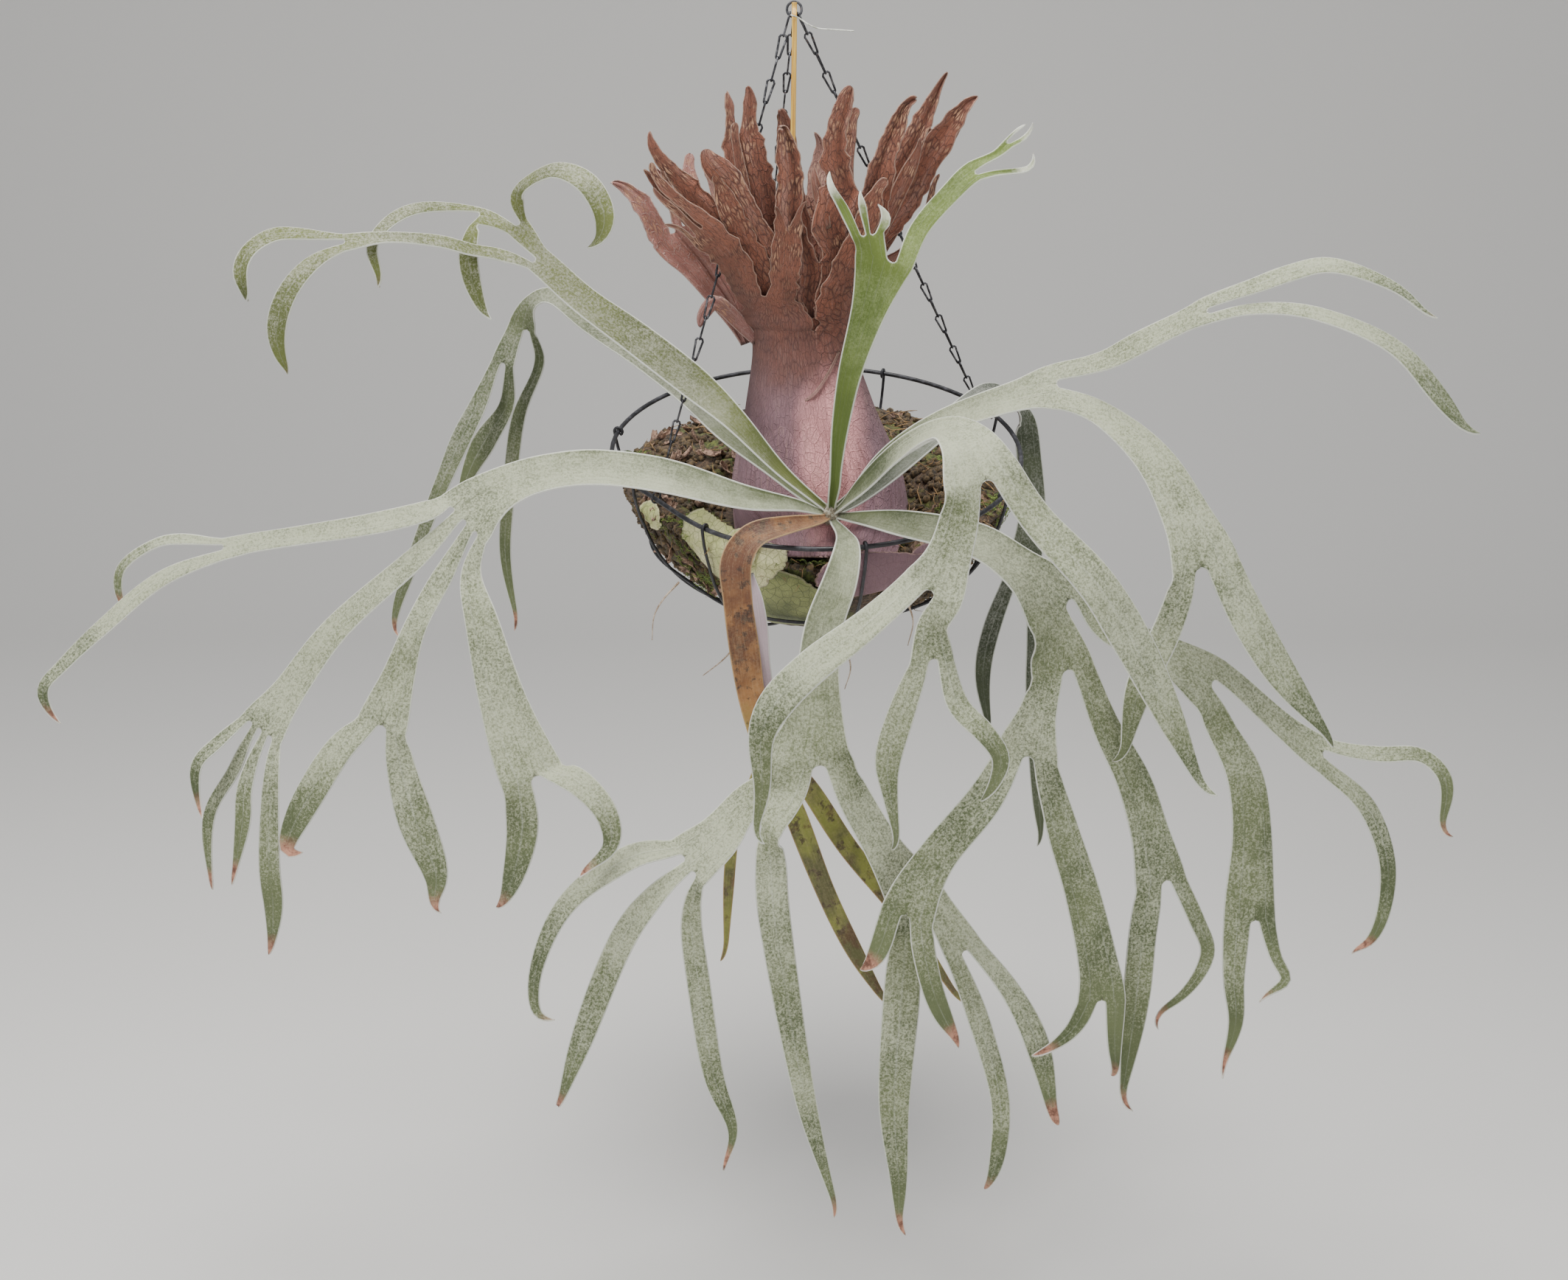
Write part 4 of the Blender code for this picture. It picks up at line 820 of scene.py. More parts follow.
# Turn and lift of the root on the bud, in degrees, and then the blade.
fronds = {
    "frond_up_left": ((135, 20), forked(
        (0, (-1, -4.6, -35.4, 1.1), (-4.5, -4.5, -31.6, 2), (-8, -4, -28.5, 2.8),
         (-12.3, -3.5, -25.2, 2.9), (-16.7, -3, -22, 2.5), (-20.2, -2.5, -18.9, 2.4)),
        (1, (-21.8, -2, -16.4, 2.2)),
        (2, (-21.7, -2.5, -14.2, 1.3), (-20.6, -3.5, -13, 1.3), (-18.2, -5, -12.2, 1.6),
         (-15.8, -6, -13.2, 1.9), (-14.5, -6.5, -15.3, 1.7), (-14.7, -6.5, -17.1, 1.2),
         (-16, -6, -18.5, 0.3)),
        (2, (-24.6, -2.6, -15.6, 1.8)),
        (3, (-28.1, -4, -14.9, 1.1), (-30.4, -5, -15.6, 1.2), (-32.1, -6, -17.4, 1),
         (-32.1, -6.5, -19.1, 0.8), (-31.1, -6.5, -21, 0.3)),
        (3, (-25.4, -3.6, -18, 1.5), (-25.2, -4, -20.2, 1.5), (-24.6, -4.2, -22.2, 1),
         (-24.1, -4, -23.7, 0.3)),
        (1, (-22.9, -3.2, -18.6, 1.3), (-25, -4.6, -18.2, 1.2), (-27.4, -5.6, -17.5, 1.2),
         (-31, -6.6, -17.3, 1.1), (-34.1, -7.2, -17.7, 1.7)),
        (2, (-37.3, -7.2, -17, 1.1), (-39.3, -8, -17.1, 1.4), (-40.9, -9, -18.3, 1.3),
         (-41.5, -9.5, -20.1, 1.1), (-40.8, -9.5, -22.1, 0.3)),
        (2, (-36.4, -8, -19.1, 1.5), (-38.1, -9, -21.2, 1.7), (-39, -9.5, -23.7, 1.6),
         (-38.9, -9.5, -25.9, 1), (-38.2, -9, -27.3, 0.3)))),
    "frond_back_left": ((152, -8), forked(
        (0, (0.6, -3.5, -37.4, 0.9), (-1.8, -2.8, -35.6, 1.1), (-5.6, -0.8, -32.8, 1.5),
         (-9, 3, -29.9, 1.9), (-12.7, 5, -27, 2.3), (-17.2, 7, -24.2, 2.2), (-20.3, 8, -22.1, 1.7),
         (-22.3, 8.6, -22.6, 1.6), (-23.3, 9.4, -24.8, 2.6)),
        (1, (-24.9, 9, -27.8, 2.3)),
        (2, (-27, 8.3, -31, 1.6), (-28.5, 7.5, -34, 1.9), (-30.2, 7, -37.7, 1.5), (-32, 7, -42, 1.3),
         (-33.5, 7, -45.7, 1.2), (-34.6, 7, -48.5, 0.9), (-35.3, 7, -51.4, 0.3)),
        (2, (-24.9, 9.9, -31.5, 1.5), (-27, 10.6, -34.6, 2.3), (-28.6, 10.4, -37.6, 1.4),
         (-29.6, 10, -40.6, 0.3)),
        (1, (-22, 10.4, -28, 1), (-24.2, 12.2, -32.4, 1.3), (-25, 12, -37, 1.3), (-25.6, 12, -41.5, 1.2),
         (-25.8, 12, -45.8, 1), (-24.8, 12, -52, 0.3)))),
    "frond_left": ((171, 24), forked(
        (0, (0.2, -5.6, -38, 1.2), (-3.9, -7, -37.3, 2.2), (-9.9, -8, -35.5, 3), (-14.7, -8.5, -34.7, 3.1),
         (-19.2, -9, -35, 3.2), (-22.6, -9.5, -36.2, 3.8), (-25.4, -10, -38.4, 5.6)),
        (1, (-28.4, -10, -37.9, 2), (-32.9, -9.5, -38.9, 1.9), (-37.3, -9, -39.7, 1.8),
         (-41.8, -8.5, -40.4, 1.8), (-44.5, -8.5, -41, 2)),
        (2, (-47.7, -8, -40.3, 1), (-49.9, -8, -40.6, 0.9), (-52.6, -8, -42.3, 0.9),
         (-53.2, -8, -44.3, 0.7), (-52.5, -8, -46.6, 0.3)),
        (2, (-49.7, -9, -43.4, 1.5), (-53.9, -10, -46.9, 1.5), (-57.1, -10.5, -49.9, 1.2),
         (-58.6, -11, -51.8, 1), (-57.8, -11, -54.5, 0.3)),
        (1, (-29.4, -10.6, -41.6, 2), (-35.4, -11, -46.7, 2.4), (-39.2, -11.5, -51.6, 2.9),
         (-41.4, -12, -54.6, 4.2)),
        (2, (-44.7, -12, -55.6, 1.2), (-46.6, -12.5, -57.6, 1), (-46.5, -12.5, -61.6, 0.3)),
        (2, (-44, -11, -58.2, 1.2), (-46.6, -10.5, -62.3, 1.1), (-46.7, -10.5, -68.6, 0.3)),
        (2, (-42.7, -12.8, -58.9, 1.3), (-43, -13.2, -62, 1.3), (-44.2, -13.2, -67, 0.3)),
        (2, (-40.5, -13.5, -58.5, 1.4), (-40.9, -14, -64.8, 1.7), (-40.8, -14, -68.7, 1.5),
         (-41.3, -14, -72.6, 0.4)),
        (1, (-27.2, -11, -43, 1.8), (-29.1, -12, -46.5, 1.9), (-30.4, -12.5, -50.1, 2.7),
         (-31.8, -13, -54, 4.2)),
        (2, (-35.2, -13.5, -56, 2.6), (-38, -14, -60.3, 2.4), (-39.4, -14.2, -63.4, 1.3),
         (-38.4, -14.2, -64.2, 0.4)),
        (2, (-30.4, -13.5, -57.6, 2.5), (-29.2, -14, -61.8, 2.8), (-27.9, -14, -66, 1.9),
         (-28.7, -14, -68.8, 0.4)),
        (1, (-24.8, -11.6, -42.4, 1.7), (-23.8, -13, -45.8, 2.6), (-22.2, -14, -52, 3.7),
         (-20, -15, -57.6, 5)),
        (2, (-20.8, -15, -61.6, 2.8), (-21.7, -15, -65.4, 1.9), (-23, -15, -68.7, 0.4)),
        (2, (-16.6, -15.5, -57.8, 2.4), (-14.4, -16, -60, 1.9), (-14.1, -16, -62.8, 1.3),
         (-16.6, -16, -65, 0.4)))),
    "frond_brown": ((216, 52), forked(
        (0, (1.5, -6, -39.2, 1.1), (-0.8, -8, -39.3, 1.7), (-3.2, -9.6, -39.8, 2.2),
         (-4.5, -10.2, -41.8, 2.5), (-4.4, -10.2, -44.6, 2.3), (-3.9, -9.5, -48.9, 2.4),
         (-3.2, -9, -53.5, 2.2), (-1.8, -8.8, -57.3, 2.8)),
        (1, (-4, -8.6, -61.8, 0.9), (-4.9, -8.6, -64.7, 0.9), (-5.3, -8.6, -68.7, 0.9),
         (-5.6, -8.6, -75.3, 0.3)),
        (1, (0, -9, -62.2, 1.8), (2.4, -9.2, -68.6, 1.6), (5, -9.2, -74.2, 1.4), (7.9, -9.2, -79.2, 0.4)),
        (1, (1.6, -8, -61.2, 1.7), (4.6, -7.2, -66.2, 1.7), (9, -7, -71.9, 1.4), (14.2, -7, -80, 0.4)))),
    "frond_centre": ((277, 50), forked(
        (0, (3.8, -6.5, -40, 1.1), (4.1, -9.5, -40.7, 2), (3.5, -11, -43.2, 2.7), (2.3, -11.5, -46.5, 3),
         (1.8, -12, -50.2, 3.4), (1.6, -12.5, -53.8, 4.6), (1.2, -13, -57.2, 7.2)),
        (1, (-0.9, -13, -59.4, 4.8), (-3, -13.4, -61.4, 5.8)),
        (2, (-1.9, -13.6, -65.4, 2.7), (-1.6, -14, -69, 2.6), (-0.3, -14, -77.9, 2.2),
         (1.2, -14, -86.1, 1.6), (3.7, -13.5, -95.6, 0.4)),
        (2, (-5.8, -14, -62.8, 4), (-8.2, -14.2, -64.8, 4.8)),
        (3, (-12.8, -14.6, -64.2, 2.2), (-17.6, -15, -67.6, 1.7), (-20.1, -15, -72.8, 1.2),
         (-20.4, -15, -76.6, 0.8), (-19, -15, -77.8, 0.3)),
        (3, (-11, -14.2, -67.6, 2), (-13.6, -14.2, -71.3, 2.2), (-16.8, -14.2, -79.3, 1.9),
         (-19.1, -14.2, -86.1, 0.4)),
        (3, (-8.1, -13.8, -69.6, 1.7), (-7.6, -13.6, -74.8, 1.9), (-6.5, -13.6, -82.9, 1.7),
         (-4.9, -13.6, -87.7, 0.9), (-5.8, -13.6, -91, 0.3)),
        (1, (4.6, -13, -60, 3), (7.1, -13, -64.2, 3.2), (10, -13, -69.2, 5.2)),
        (2, (8.7, -13, -75.1, 3), (8.1, -13, -85.2, 2.6), (8.6, -12.8, -92.6, 1.5),
         (8.7, -12.6, -97.6, 0.4)),
        (2, (13.4, -13, -72.6, 3.6)),
        (3, (14.8, -13, -78.4, 1.8), (16.7, -13, -85.2, 1.6), (16.6, -13, -90.6, 1.3),
         (15.6, -13, -94, 0.3)),
        (3, (17.4, -13.5, -76, 1.8), (19.6, -14, -80.6, 2), (21, -14, -87, 0.8)))),
    "frond_front": ((30, 46), forked(
        (0, (4.9, -7.5, -36.6, 1.3), (7, -10, -34, 1.7), (9.2, -12.5, -32, 2), (11.1, -15.5, -31, 2.8),
         (12.4, -18.2, -31.8, 4.2), (13.4, -19.8, -34.2, 6)),
        (1, (11.8, -20.2, -37, 3.2), (11, -20.5, -39.6, 3.6), (9.8, -20.6, -42, 5)),
        (2, (5, -21, -44.5, 2.5), (1.4, -21.5, -47.1, 2.7), (-1.4, -21.5, -50, 2.7),
         (-2.5, -21, -52.9, 1.9), (-2.4, -20.5, -57, 1.2), (-3.2, -20.5, -61, 0.3)),
        (2, (9.7, -20.5, -44.6, 2.6), (9.8, -20.5, -47, 3.4)),
        (3, (7.9, -20.5, -50.6, 2.1), (6.8, -20.5, -54.3, 2), (7, -20.5, -57.3, 1.2),
         (7.8, -20.5, -62, 0.3)),
        (3, (11.7, -21, -50.2, 1.8), (13.5, -21.5, -52, 1.7), (14.9, -21.5, -54, 1.4),
         (14.5, -21.5, -56, 0.9), (13.5, -21.5, -57.7, 0.3)),
        (1, (17.3, -20, -37.2, 2.9), (21.2, -21, -41.1, 3.1), (23.9, -21, -45.1, 3.2),
         (27, -21, -50.9, 2.3), (30.2, -21, -57.4, 0.4)))),
    "frond_upper_right": ((58, 8), forked(
        (0, (4.9, -5.5, -37, 1.1), (7.3, -6.5, -34.1, 1.7), (11.3, -7.5, -31.3, 2.2),
         (17.2, -8.5, -29.1, 2.7), (20, -9, -28.3, 4.2)),
        (1, (23.3, -10, -26.4, 2), (25.5, -11, -25.1, 2), (28.4, -12, -23.5, 1.9), (30.2, -13, -22.5, 2.4)),
        (2, (33.5, -13, -20.8, 1.4), (35.9, -13, -19.9, 1.5), (38.9, -14, -19.2, 1.4),
         (43.2, -15, -20.8, 0.9), (45.7, -16, -23.2, 0.3)),
        (2, (33.6, -13.4, -22.4, 1.1), (37.8, -14.5, -22.7, 1.3), (43.3, -15.5, -25, 1.5),
         (46.8, -16, -28.8, 1.6), (49.3, -16, -31.6, 0.4)),
        (1, (23.2, -10.5, -30.2, 2.4), (27, -12.5, -33.6, 3.2), (29.2, -14, -37.6, 4),
         (30.6, -15, -41.2, 5.4)),
        (2, (28, -15.5, -45.7, 2.3), (25.9, -15.5, -50.5, 2.1), (24.9, -15.5, -56.6, 0.4)),
        (2, (34.2, -15.5, -45.8, 3.2), (37.4, -15.5, -50.4, 2.4), (41, -15.5, -54.8, 0.4)))),
    "frond_lower_right": ((-8, 40), forked(
        (0, (5.2, -6.5, -38.9, 1.3), (8.3, -9.5, -38.9, 2.3), (13.6, -11.5, -39.8, 3),
         (17.2, -12.5, -41.9, 3.6), (20.2, -13, -44.8, 6.2)),
        (1, (24, -12.5, -46.5, 2.8), (28.5, -12, -48.5, 3.2), (32.2, -12, -51, 4.8)),
        (2, (33.4, -12.5, -54.8, 2.7), (35, -13, -58, 3), (35.8, -13, -62.9, 3.2), (36, -13, -70, 4.2)),
        (3, (35.1, -13, -75.1, 1.9), (35.4, -13, -78.9, 1.2), (34.3, -13, -83.2, 0.3)),
        (3, (38, -13.5, -72.8, 1.2), (38.8, -14.2, -74.6, 0.9), (36.4, -15, -75.6, 0.3)),
        (2, (37.8, -12, -54.2, 2.2), (41.2, -12, -56.6, 3)),
        (3, (45.6, -12, -56.6, 1.4), (48.9, -12, -56.7, 1.3), (50.9, -12.5, -59, 1.2),
         (50.5, -12.5, -63.4, 0.4)),
        (3, (44.8, -12, -60.6, 1.7), (46.8, -12, -64.9, 1.5), (47, -12, -69, 1.2), (46.1, -12, -72, 0.8),
         (44.4, -12, -72.8, 0.3)),
        (1, (20.6, -14, -49.4, 5.4)),
        (2, (18.6, -15, -52.4, 3.2), (17.6, -16, -55.6, 5)),
        (3, (14.4, -17, -58.8, 3), (10.8, -17.5, -63, 3), (8.6, -17.5, -67.8, 4.2)),
        (4, (6.4, -18, -70.7, 1.7), (4.9, -18, -72.6, 0.3)),
        (4, (10.3, -17.6, -72.7, 1.9), (11.5, -17.6, -76, 1.5), (13, -17.6, -78.5, 0.4)),
        (3, (20.2, -16, -60.7, 2.6), (22, -16, -65.9, 2.8), (23.5, -16, -71.9, 3.2), (24, -16, -75.4, 3.8)),
        (4, (21.7, -16, -78.2, 1.3), (18.9, -16, -80.3, 0.4)),
        (4, (25.1, -16, -79.2, 1.3), (25.5, -16, -82.4, 0.4)),
        (2, (23.8, -14, -53.8, 2.4), (26.2, -14, -58.2, 2.9), (27.6, -14, -62.4, 3.2),
         (28.6, -14, -66.4, 4.2)),
        (3, (27.4, -14, -71.5, 2.4), (27, -14, -77.8, 2), (26.2, -14, -85.8, 0.4)),
        (3, (31.6, -13.6, -69.6, 1.5), (32.9, -13, -72.7, 1.2), (31.4, -12.6, -76.2, 0.8),
         (28.4, -12.2, -78.8, 0.3)))),
    "frond_upright": ((88, 30), forked(
        (0, (3.2, -5.5, -36.6, 0.9), (3.3, -6, -34.8, 1), (3.6, -6.5, -31.6, 1.4), (4.3, -7.5, -27.4, 1.9),
         (5.6, -8.5, -22.9, 2.7), (6.4, -9, -20.1, 3.9), (6.7, -9.4, -18.9, 4.6)),
        (1, (5.6, -9.6, -17.1, 3)),
        (2, (3.6, -10, -15.2, 0.9), (2.7, -10.5, -13.8, 0.6), (2.3, -10.5, -12.6, 0.25)),
        (2, (5, -10, -15.2, 0.7), (4.6, -10.2, -14.1, 0.25)),
        (2, (6.8, -9.6, -16, 0.9), (6.7, -9.4, -14.9, 0.3)),
        (1, (9.2, -9.5, -16.7, 1.7), (11.5, -9.5, -14.2, 1.7), (13.3, -9.5, -12.6, 1.9)),
        (2, (14.8, -9.5, -11.5, 0.9), (15.8, -9.5, -10.6, 1)),
        (3, (16.8, -9.5, -9.1, 0.3)),
        (3, (17, -9.5, -10.2, 0.5), (18.1, -9.5, -9.8, 0.25)),
        (2, (15.9, -9.5, -12.6, 0.6), (17.4, -9.5, -12.4, 0.5), (18.1, -9.5, -11.7, 0.25)))),
    "frond_back_right": ((18, -10), forked(
        (0, (5.3, -3.4, -37.8, 0.9), (8, -2.6, -35.7, 1.4), (11.7, 0.8, -33, 1.8), (15.3, 7, -31, 2.2),
         (18, 12, -30.6, 2.3), (20.9, 17, -33, 2.3), (21.8, 18.5, -37, 2.4), (22.4, 19, -42.5, 2.6),
         (21.6, 19, -48, 3.2)),
        (1, (18.9, 19, -53.1, 1.7), (18.1, 19, -58.1, 1.5), (19.1, 19, -64, 0.4)),
        (1, (23, 19, -53.4, 1.7), (23.1, 19, -60.3, 1.7), (23.8, 19, -69.9, 1.3), (24.3, 19, -75, 0.3)))),
}

# How far the tips have dried, where it isn't the common share.
tipShares = {
    "frond_up_left": 0.4, "frond_upper_right": 0.4, "frond_front": 0.3, "frond_left": 1.0,
    "frond_lower_right": 1.0, "frond_upright": 1.0, "frond_back_right": 0.5,
}
bud = {"centre": Vector((3.0, -4.0, -38.9)), "heart": 0.8, "stalk": 0.6}


def budRoot(turn, lift):
    turn, lift = math.radians(turn), math.radians(lift)
    aim = Vector((math.cos(turn) * math.cos(lift), -math.sin(lift), math.sin(turn) * math.cos(lift)))
    return bud["centre"] + aim * bud["heart"] * 0.6


def channel(stations, gutter):
    # the stalk end of a frond is a gutter that opens out towards its first fork
    last = len(stations) - 1
    bent = []
    for k, values in enumerate(stations):
        wrap = -gutter * (1 - k / last) ** 0.8
        bent.append(values if len(values) > 5 else (*values[:4], values[4] if len(values) > 4 else 0.0, wrap))
    return bent


# What differs from the common look; the youngest frond is the greenest, those at the back are darker, as
# painted shade.
frondLooks = {
    "frond_upright": dict(name="freshFrond", green=rgb(104, 122, 50), deepGreen=rgb(84, 102, 36), cover=0.0,
                          facing=0.3, felt=rgb(162, 176, 122), bare=-0.2, speckle=0.3,
                          tip=rgb(226, 224, 206), tipDark=rgb(196, 202, 172)),
    "frond_up_left": dict(name="yellowFrond", green=rgb(102, 110, 52), deepGreen=rgb(78, 86, 36), cover=-0.04,
                          felt=rgb(170, 170, 150), bare=-0.1),
    "frond_back_left": dict(name="dullFrond", cover=0.0, felt=rgb(160, 162, 142), bare=-0.3),
    "frond_back_right": dict(name="shadedFrond", green=rgb(78, 86, 60), deepGreen=rgb(56, 64, 42), cover=0.04,
                             felt=rgb(150, 152, 142)),
    "frond_lower_right": dict(name="greenFrond", cover=0.08, bare=-0.5),
}

# The dried frond's right edge, folded over so that its pale underside shows.
brownFold = ((-3.3, -9.9, -42.6, 0.3), (-2.9, -10, -44.6, 0.9), (-2.6, -9.5, -47, 1.1),
             (-2.4, -9.1, -49.6, 1), (-2, -8.7, -52.6, 0.8), (-1.6, -8.4, -54.8, 0.3))


def makeFronds():
    felted = makeFrondMaterial("feltedFrond")
    special = {name: makeFrondMaterial(**look) for name, look in frondLooks.items()}
    special["frond_brown"] = makeBrownMaterial()
    for name, ((turn, lift), tree) in fronds.items():
        cut = dict(frondCut, tipShare=tipShares.get(name, frondCut["tipShare"]))
        tree["stations"] = channel([(*budRoot(turn, lift), bud["stalk"])] + tree["stations"], cut["gutter"])
        piece = makeBlade(name + "_blade", tree, bladeFace, cut, special.get(name, felted), bud["centre"])
        settle(piece, "leaf_brown" if name == "frond_brown" else "leaf", name)
    lilac = makeFrondMaterial("lilacFold", green=rgb(186, 166, 172), deepGreen=rgb(160, 136, 142),
                              felt=rgb(214, 202, 206), cover=0.3)
    foldCut = dict(frondCut, curl=0.0, tipShare=0.0)
    settle(makeBlade("brown_fold", forked((0, *brownFold)), bladeFace, foldCut, lilac), "leaf_brown")
    print("fronds made:", len(fronds))


makeFronds()


# shield fronds

shieldCut = {
    "row": 0.36, "columns": 10,
    "thick": 0.09, "rim": 0.05, "swell": 0.0, "sinus": 0.3, "sinusShare": 0.07, "jag": 0.26, "blunt": 0.5,
    "wave": 0.34, "waveScale": 0.22, "smooth": 10,
    "pleat": 0.42, "pleatCount": 2.4,
    "waist": 0.26, "leastTip": 0.9, "curl": 80.0, "curlReach": 2.0,
    "tipReach": 2.0, "tipShare": 0.5, "outerReach": 9.0, "grown": 40.0,
}

shields = {
    "shield_front": forked(
        (0, (2.1, -6.3, -42.03, 12.4, 0, 62), (2.2, -4.4, -40.7, 14, 0, 100),
         (2.2, -2.8, -39, 14.6, 0, 180), (2, -2.4, -36, 13.4, 0, 200), (1.4, -1.4, -31.2, 10.2, 0, 200),
         (0.9, -0.1, -26.8, 7.9, 0, 200), (0.8, 0.1, -24.6, 7.8, 0, 190), (0.5, -0.6, -21.8, 9.4, 0, 120),
         (0.6, -1.8, -19.2, 12, 0, 70)),
        (1, (-6, -2.6, -16.8, 3.2, -20), (-8.5, -3.2, -14.2, 3.2, -12)),
        (2, (-10.2, -3.8, -11.6, 1.6), (-11.4, -4, -9.5, 0.3)),
        (2, (-10.2, -4, -13.8, 1.2), (-11.3, -4.6, -12.2, 0.3)),
        (1, (-3.4, -3, -15.8, 2.7, -10), (-4.9, -4, -13.2, 2.6, -6), (-6.3, -4.8, -11.8, 1.7),
         (-7, -5, -11, 1)),
        (1, (-0.4, -3.2, -16, 2.8), (-0.3, -4, -13, 2.7), (-0.6, -4.6, -10.6, 1.7), (-0.7, -5, -9, 0.9)),
        (1, (4, -2.8, -16.2, 5.4, 12), (4.8, -3.4, -13.8, 5.8, 8)),
        (2, (3.2, -4.2, -11.4, 3), (3.3, -4.6, -9.2, 2.4), (3.8, -5, -7.4, 1.5), (3.9, -5.2, -6.2, 0.9)),
        (2, (6.9, -3.8, -11.2, 2.6), (7.8, -4, -9, 1.8), (8.7, -4.2, -6.7, 0.4))),
    "shield_inner": forked(
        (0, (0.6, 0.45, -24.6, 4, 0, 100), (0.7, 1.2, -21, 5.4, 0, 90)),
        (1, (-2.2, -0.9, -16.8, 3.1), (-3.4, -1.7, -12.6, 3.5), (-4.1, -1.8, -9.4, 3.2)),
        (2, (-3.5, -1.8, -7.3, 1.5), (-3.3, -1.8, -6, 0.4)),
        (2, (-5, -1.8, -7.4, 1), (-5.4, -1.8, -6.3, 0.3)),
        (1, (0.8, 1.1, -16.8, 1.6), (-0.2, 1, -12, 1.9), (-0.7, 1, -9, 1.4), (-0.7, 0.8, -7.4, 0.4)),
        (1, (3.8, 1.6, -17, 2.4), (7.4, 1.6, -13, 2.6), (10, 1.4, -8.6, 1.8), (11.9, 1.2, -4.6, 0.3))),
    "shield_right": forked(
        (0, (3.6, 3.6, -24.6, 1.6), (3.5, 3.7, -21.6, 2.6), (5.4, 3.3, -18.6, 4.4)),
        (1, (7.1, 3.7, -13.9, 1.4), (8.9, 3.7, -11.2, 1.6)),
        (2, (10.2, 3.7, -8, 0.3)),
        (2, (10.3, 3.9, -10, 0.6), (11.3, 4, -8.9, 0.25)),
        (1, (9, 2.9, -14.8, 2.6), (11.3, 2.6, -10.4, 2.5), (13.2, 2.4, -7.6, 1.4), (14.4, 2.2, -6.2, 0.3)),
        (1, (10.3, 3.6, -17.2, 1.1), (11.5, 3.8, -12.2, 0.3))),
    "shield_pink": forked(
        (0, (-3.84, 3.6, -25.8, 1.1), (-5.2, 3.6, -22.4, 3), (-7.4, 3.4, -19, 4.2), (-9.3, 3, -16.6, 5.2)),
        (1, (-12.2, 2.7, -14.6, 2.3), (-14.5, 2.4, -12.6, 0.3)),
        (1, (-10.3, 3.5, -13.4, 1.1), (-11.2, 3.7, -11.9, 0.3)),
        (1, (-8.5, 4, -13.4, 2.3), (-8.7, 5, -10.6, 0.6))),
    "shield_curl": forked(
        (0, (-3.12, 2.5, -25.6, 0.7), (-4.9, 2.2, -23.6, 1.6), (-6.4, 1.7, -22.4, 1.5),
         (-7.4, 1.6, -23.4, 1), (-7.8, 1.5, -24.2, 0.3))),
    "shield_back": forked(
        (0, (2, 11, -38.8, 12, 180, 170), (1.8, 10.2, -35, 11, 180, 180), (1.3, 8.5, -30, 8, 180, 180),
         (0.96, 7.5, -26, 6.8, 180, 180), (0.8, 7.8, -22.5, 7.2, 180, 110)),
        (1, (-3, 8.2, -18.8, 2.6, 180), (-6, 9, -13.6, 2.2, 180), (-7.6, 9.6, -10.2, 0.3, 180)),
        (1, (1.2, 9.2, -18, 2.4, 180), (2.1, 10.4, -12, 1.8, 180), (2.4, 11, -8.6, 0.3, 180)),
        (1, (5, 8.4, -18.4, 2.2, 180), (6.4, 9.4, -14.8, 1.8, 180), (7.3, 10, -12.6, 0.3, 180))),
}

# Teeth and inner lobes too thin for the solids; each comes up from behind the sheet it leans on.
shieldScraps = {
    "scrap_seam": ((3.7, 0.5, -26.2, 0.15), (2.9, -0.5, -27.8, 0.28), (1.8, -1.38, -29.4, 0.26),
        (0.8, -1.62, -30.3, 0.12)),
    "scrap_left": ((-8.4, -3, -15.9, 0.3), (-9.2, -3.5, -14.5, 1), (-10.4, -4, -12, 0.25)),
    "scrap_inner": ((-3.5, -1.8, -15, 0.4), (-4.1, -2.1, -12.4, 1.2), (-4.8, -2.2, -8.7, 0.4)),
    "scrap_middle": ((-0.2, 1.6, -13.6, 2), (-0.6, 1.5, -10, 1.6), (-0.9, 1.4, -7.5, 0.7)),
    "scrap_front": ((2.7, -2.9, -16.6, 0.4), (2, -3.4, -14.4, 1.3), (1.3, -3.8, -12, 0.3)),
    "scrap_right": ((11.4, 2.9, -11.6, 0.4), (12.8, 2.5, -9.2, 0.9), (14, 2.2, -6.6, 0.25)),
    "scrap_low": ((7.4, 3.6, -18.4, 0.4), (8.5, 3.3, -16.2, 1.1), (10, 3.2, -14.2, 0.25)),
    "scrap_pair": ((6.8, 1.6, -17, 1.2), (8.7, 0.8, -13, 1.7), (10.2, 0.4, -9.8, 0.25)),
    "scrap_rear": ((3.6, 2.6, -14.2, 2.4), (4.2, 2.6, -10.2, 1.9), (4.8, 2.5, -7.2, 0.5)),
    "scrap_backing": ((0.8, 2, -24.6, 3.6), (0.9, 2.5, -20, 7.6), (0.9, 2.5, -16.6, 7), (0.9, 2.5, -14, 2)),
    "scrap_rear_left": ((-6.2, 1.8, -17.4, 2.2), (-8.4, 2.2, -14.4, 1.8), (-9.8, 2.4, -12.2, 0.4)),
}

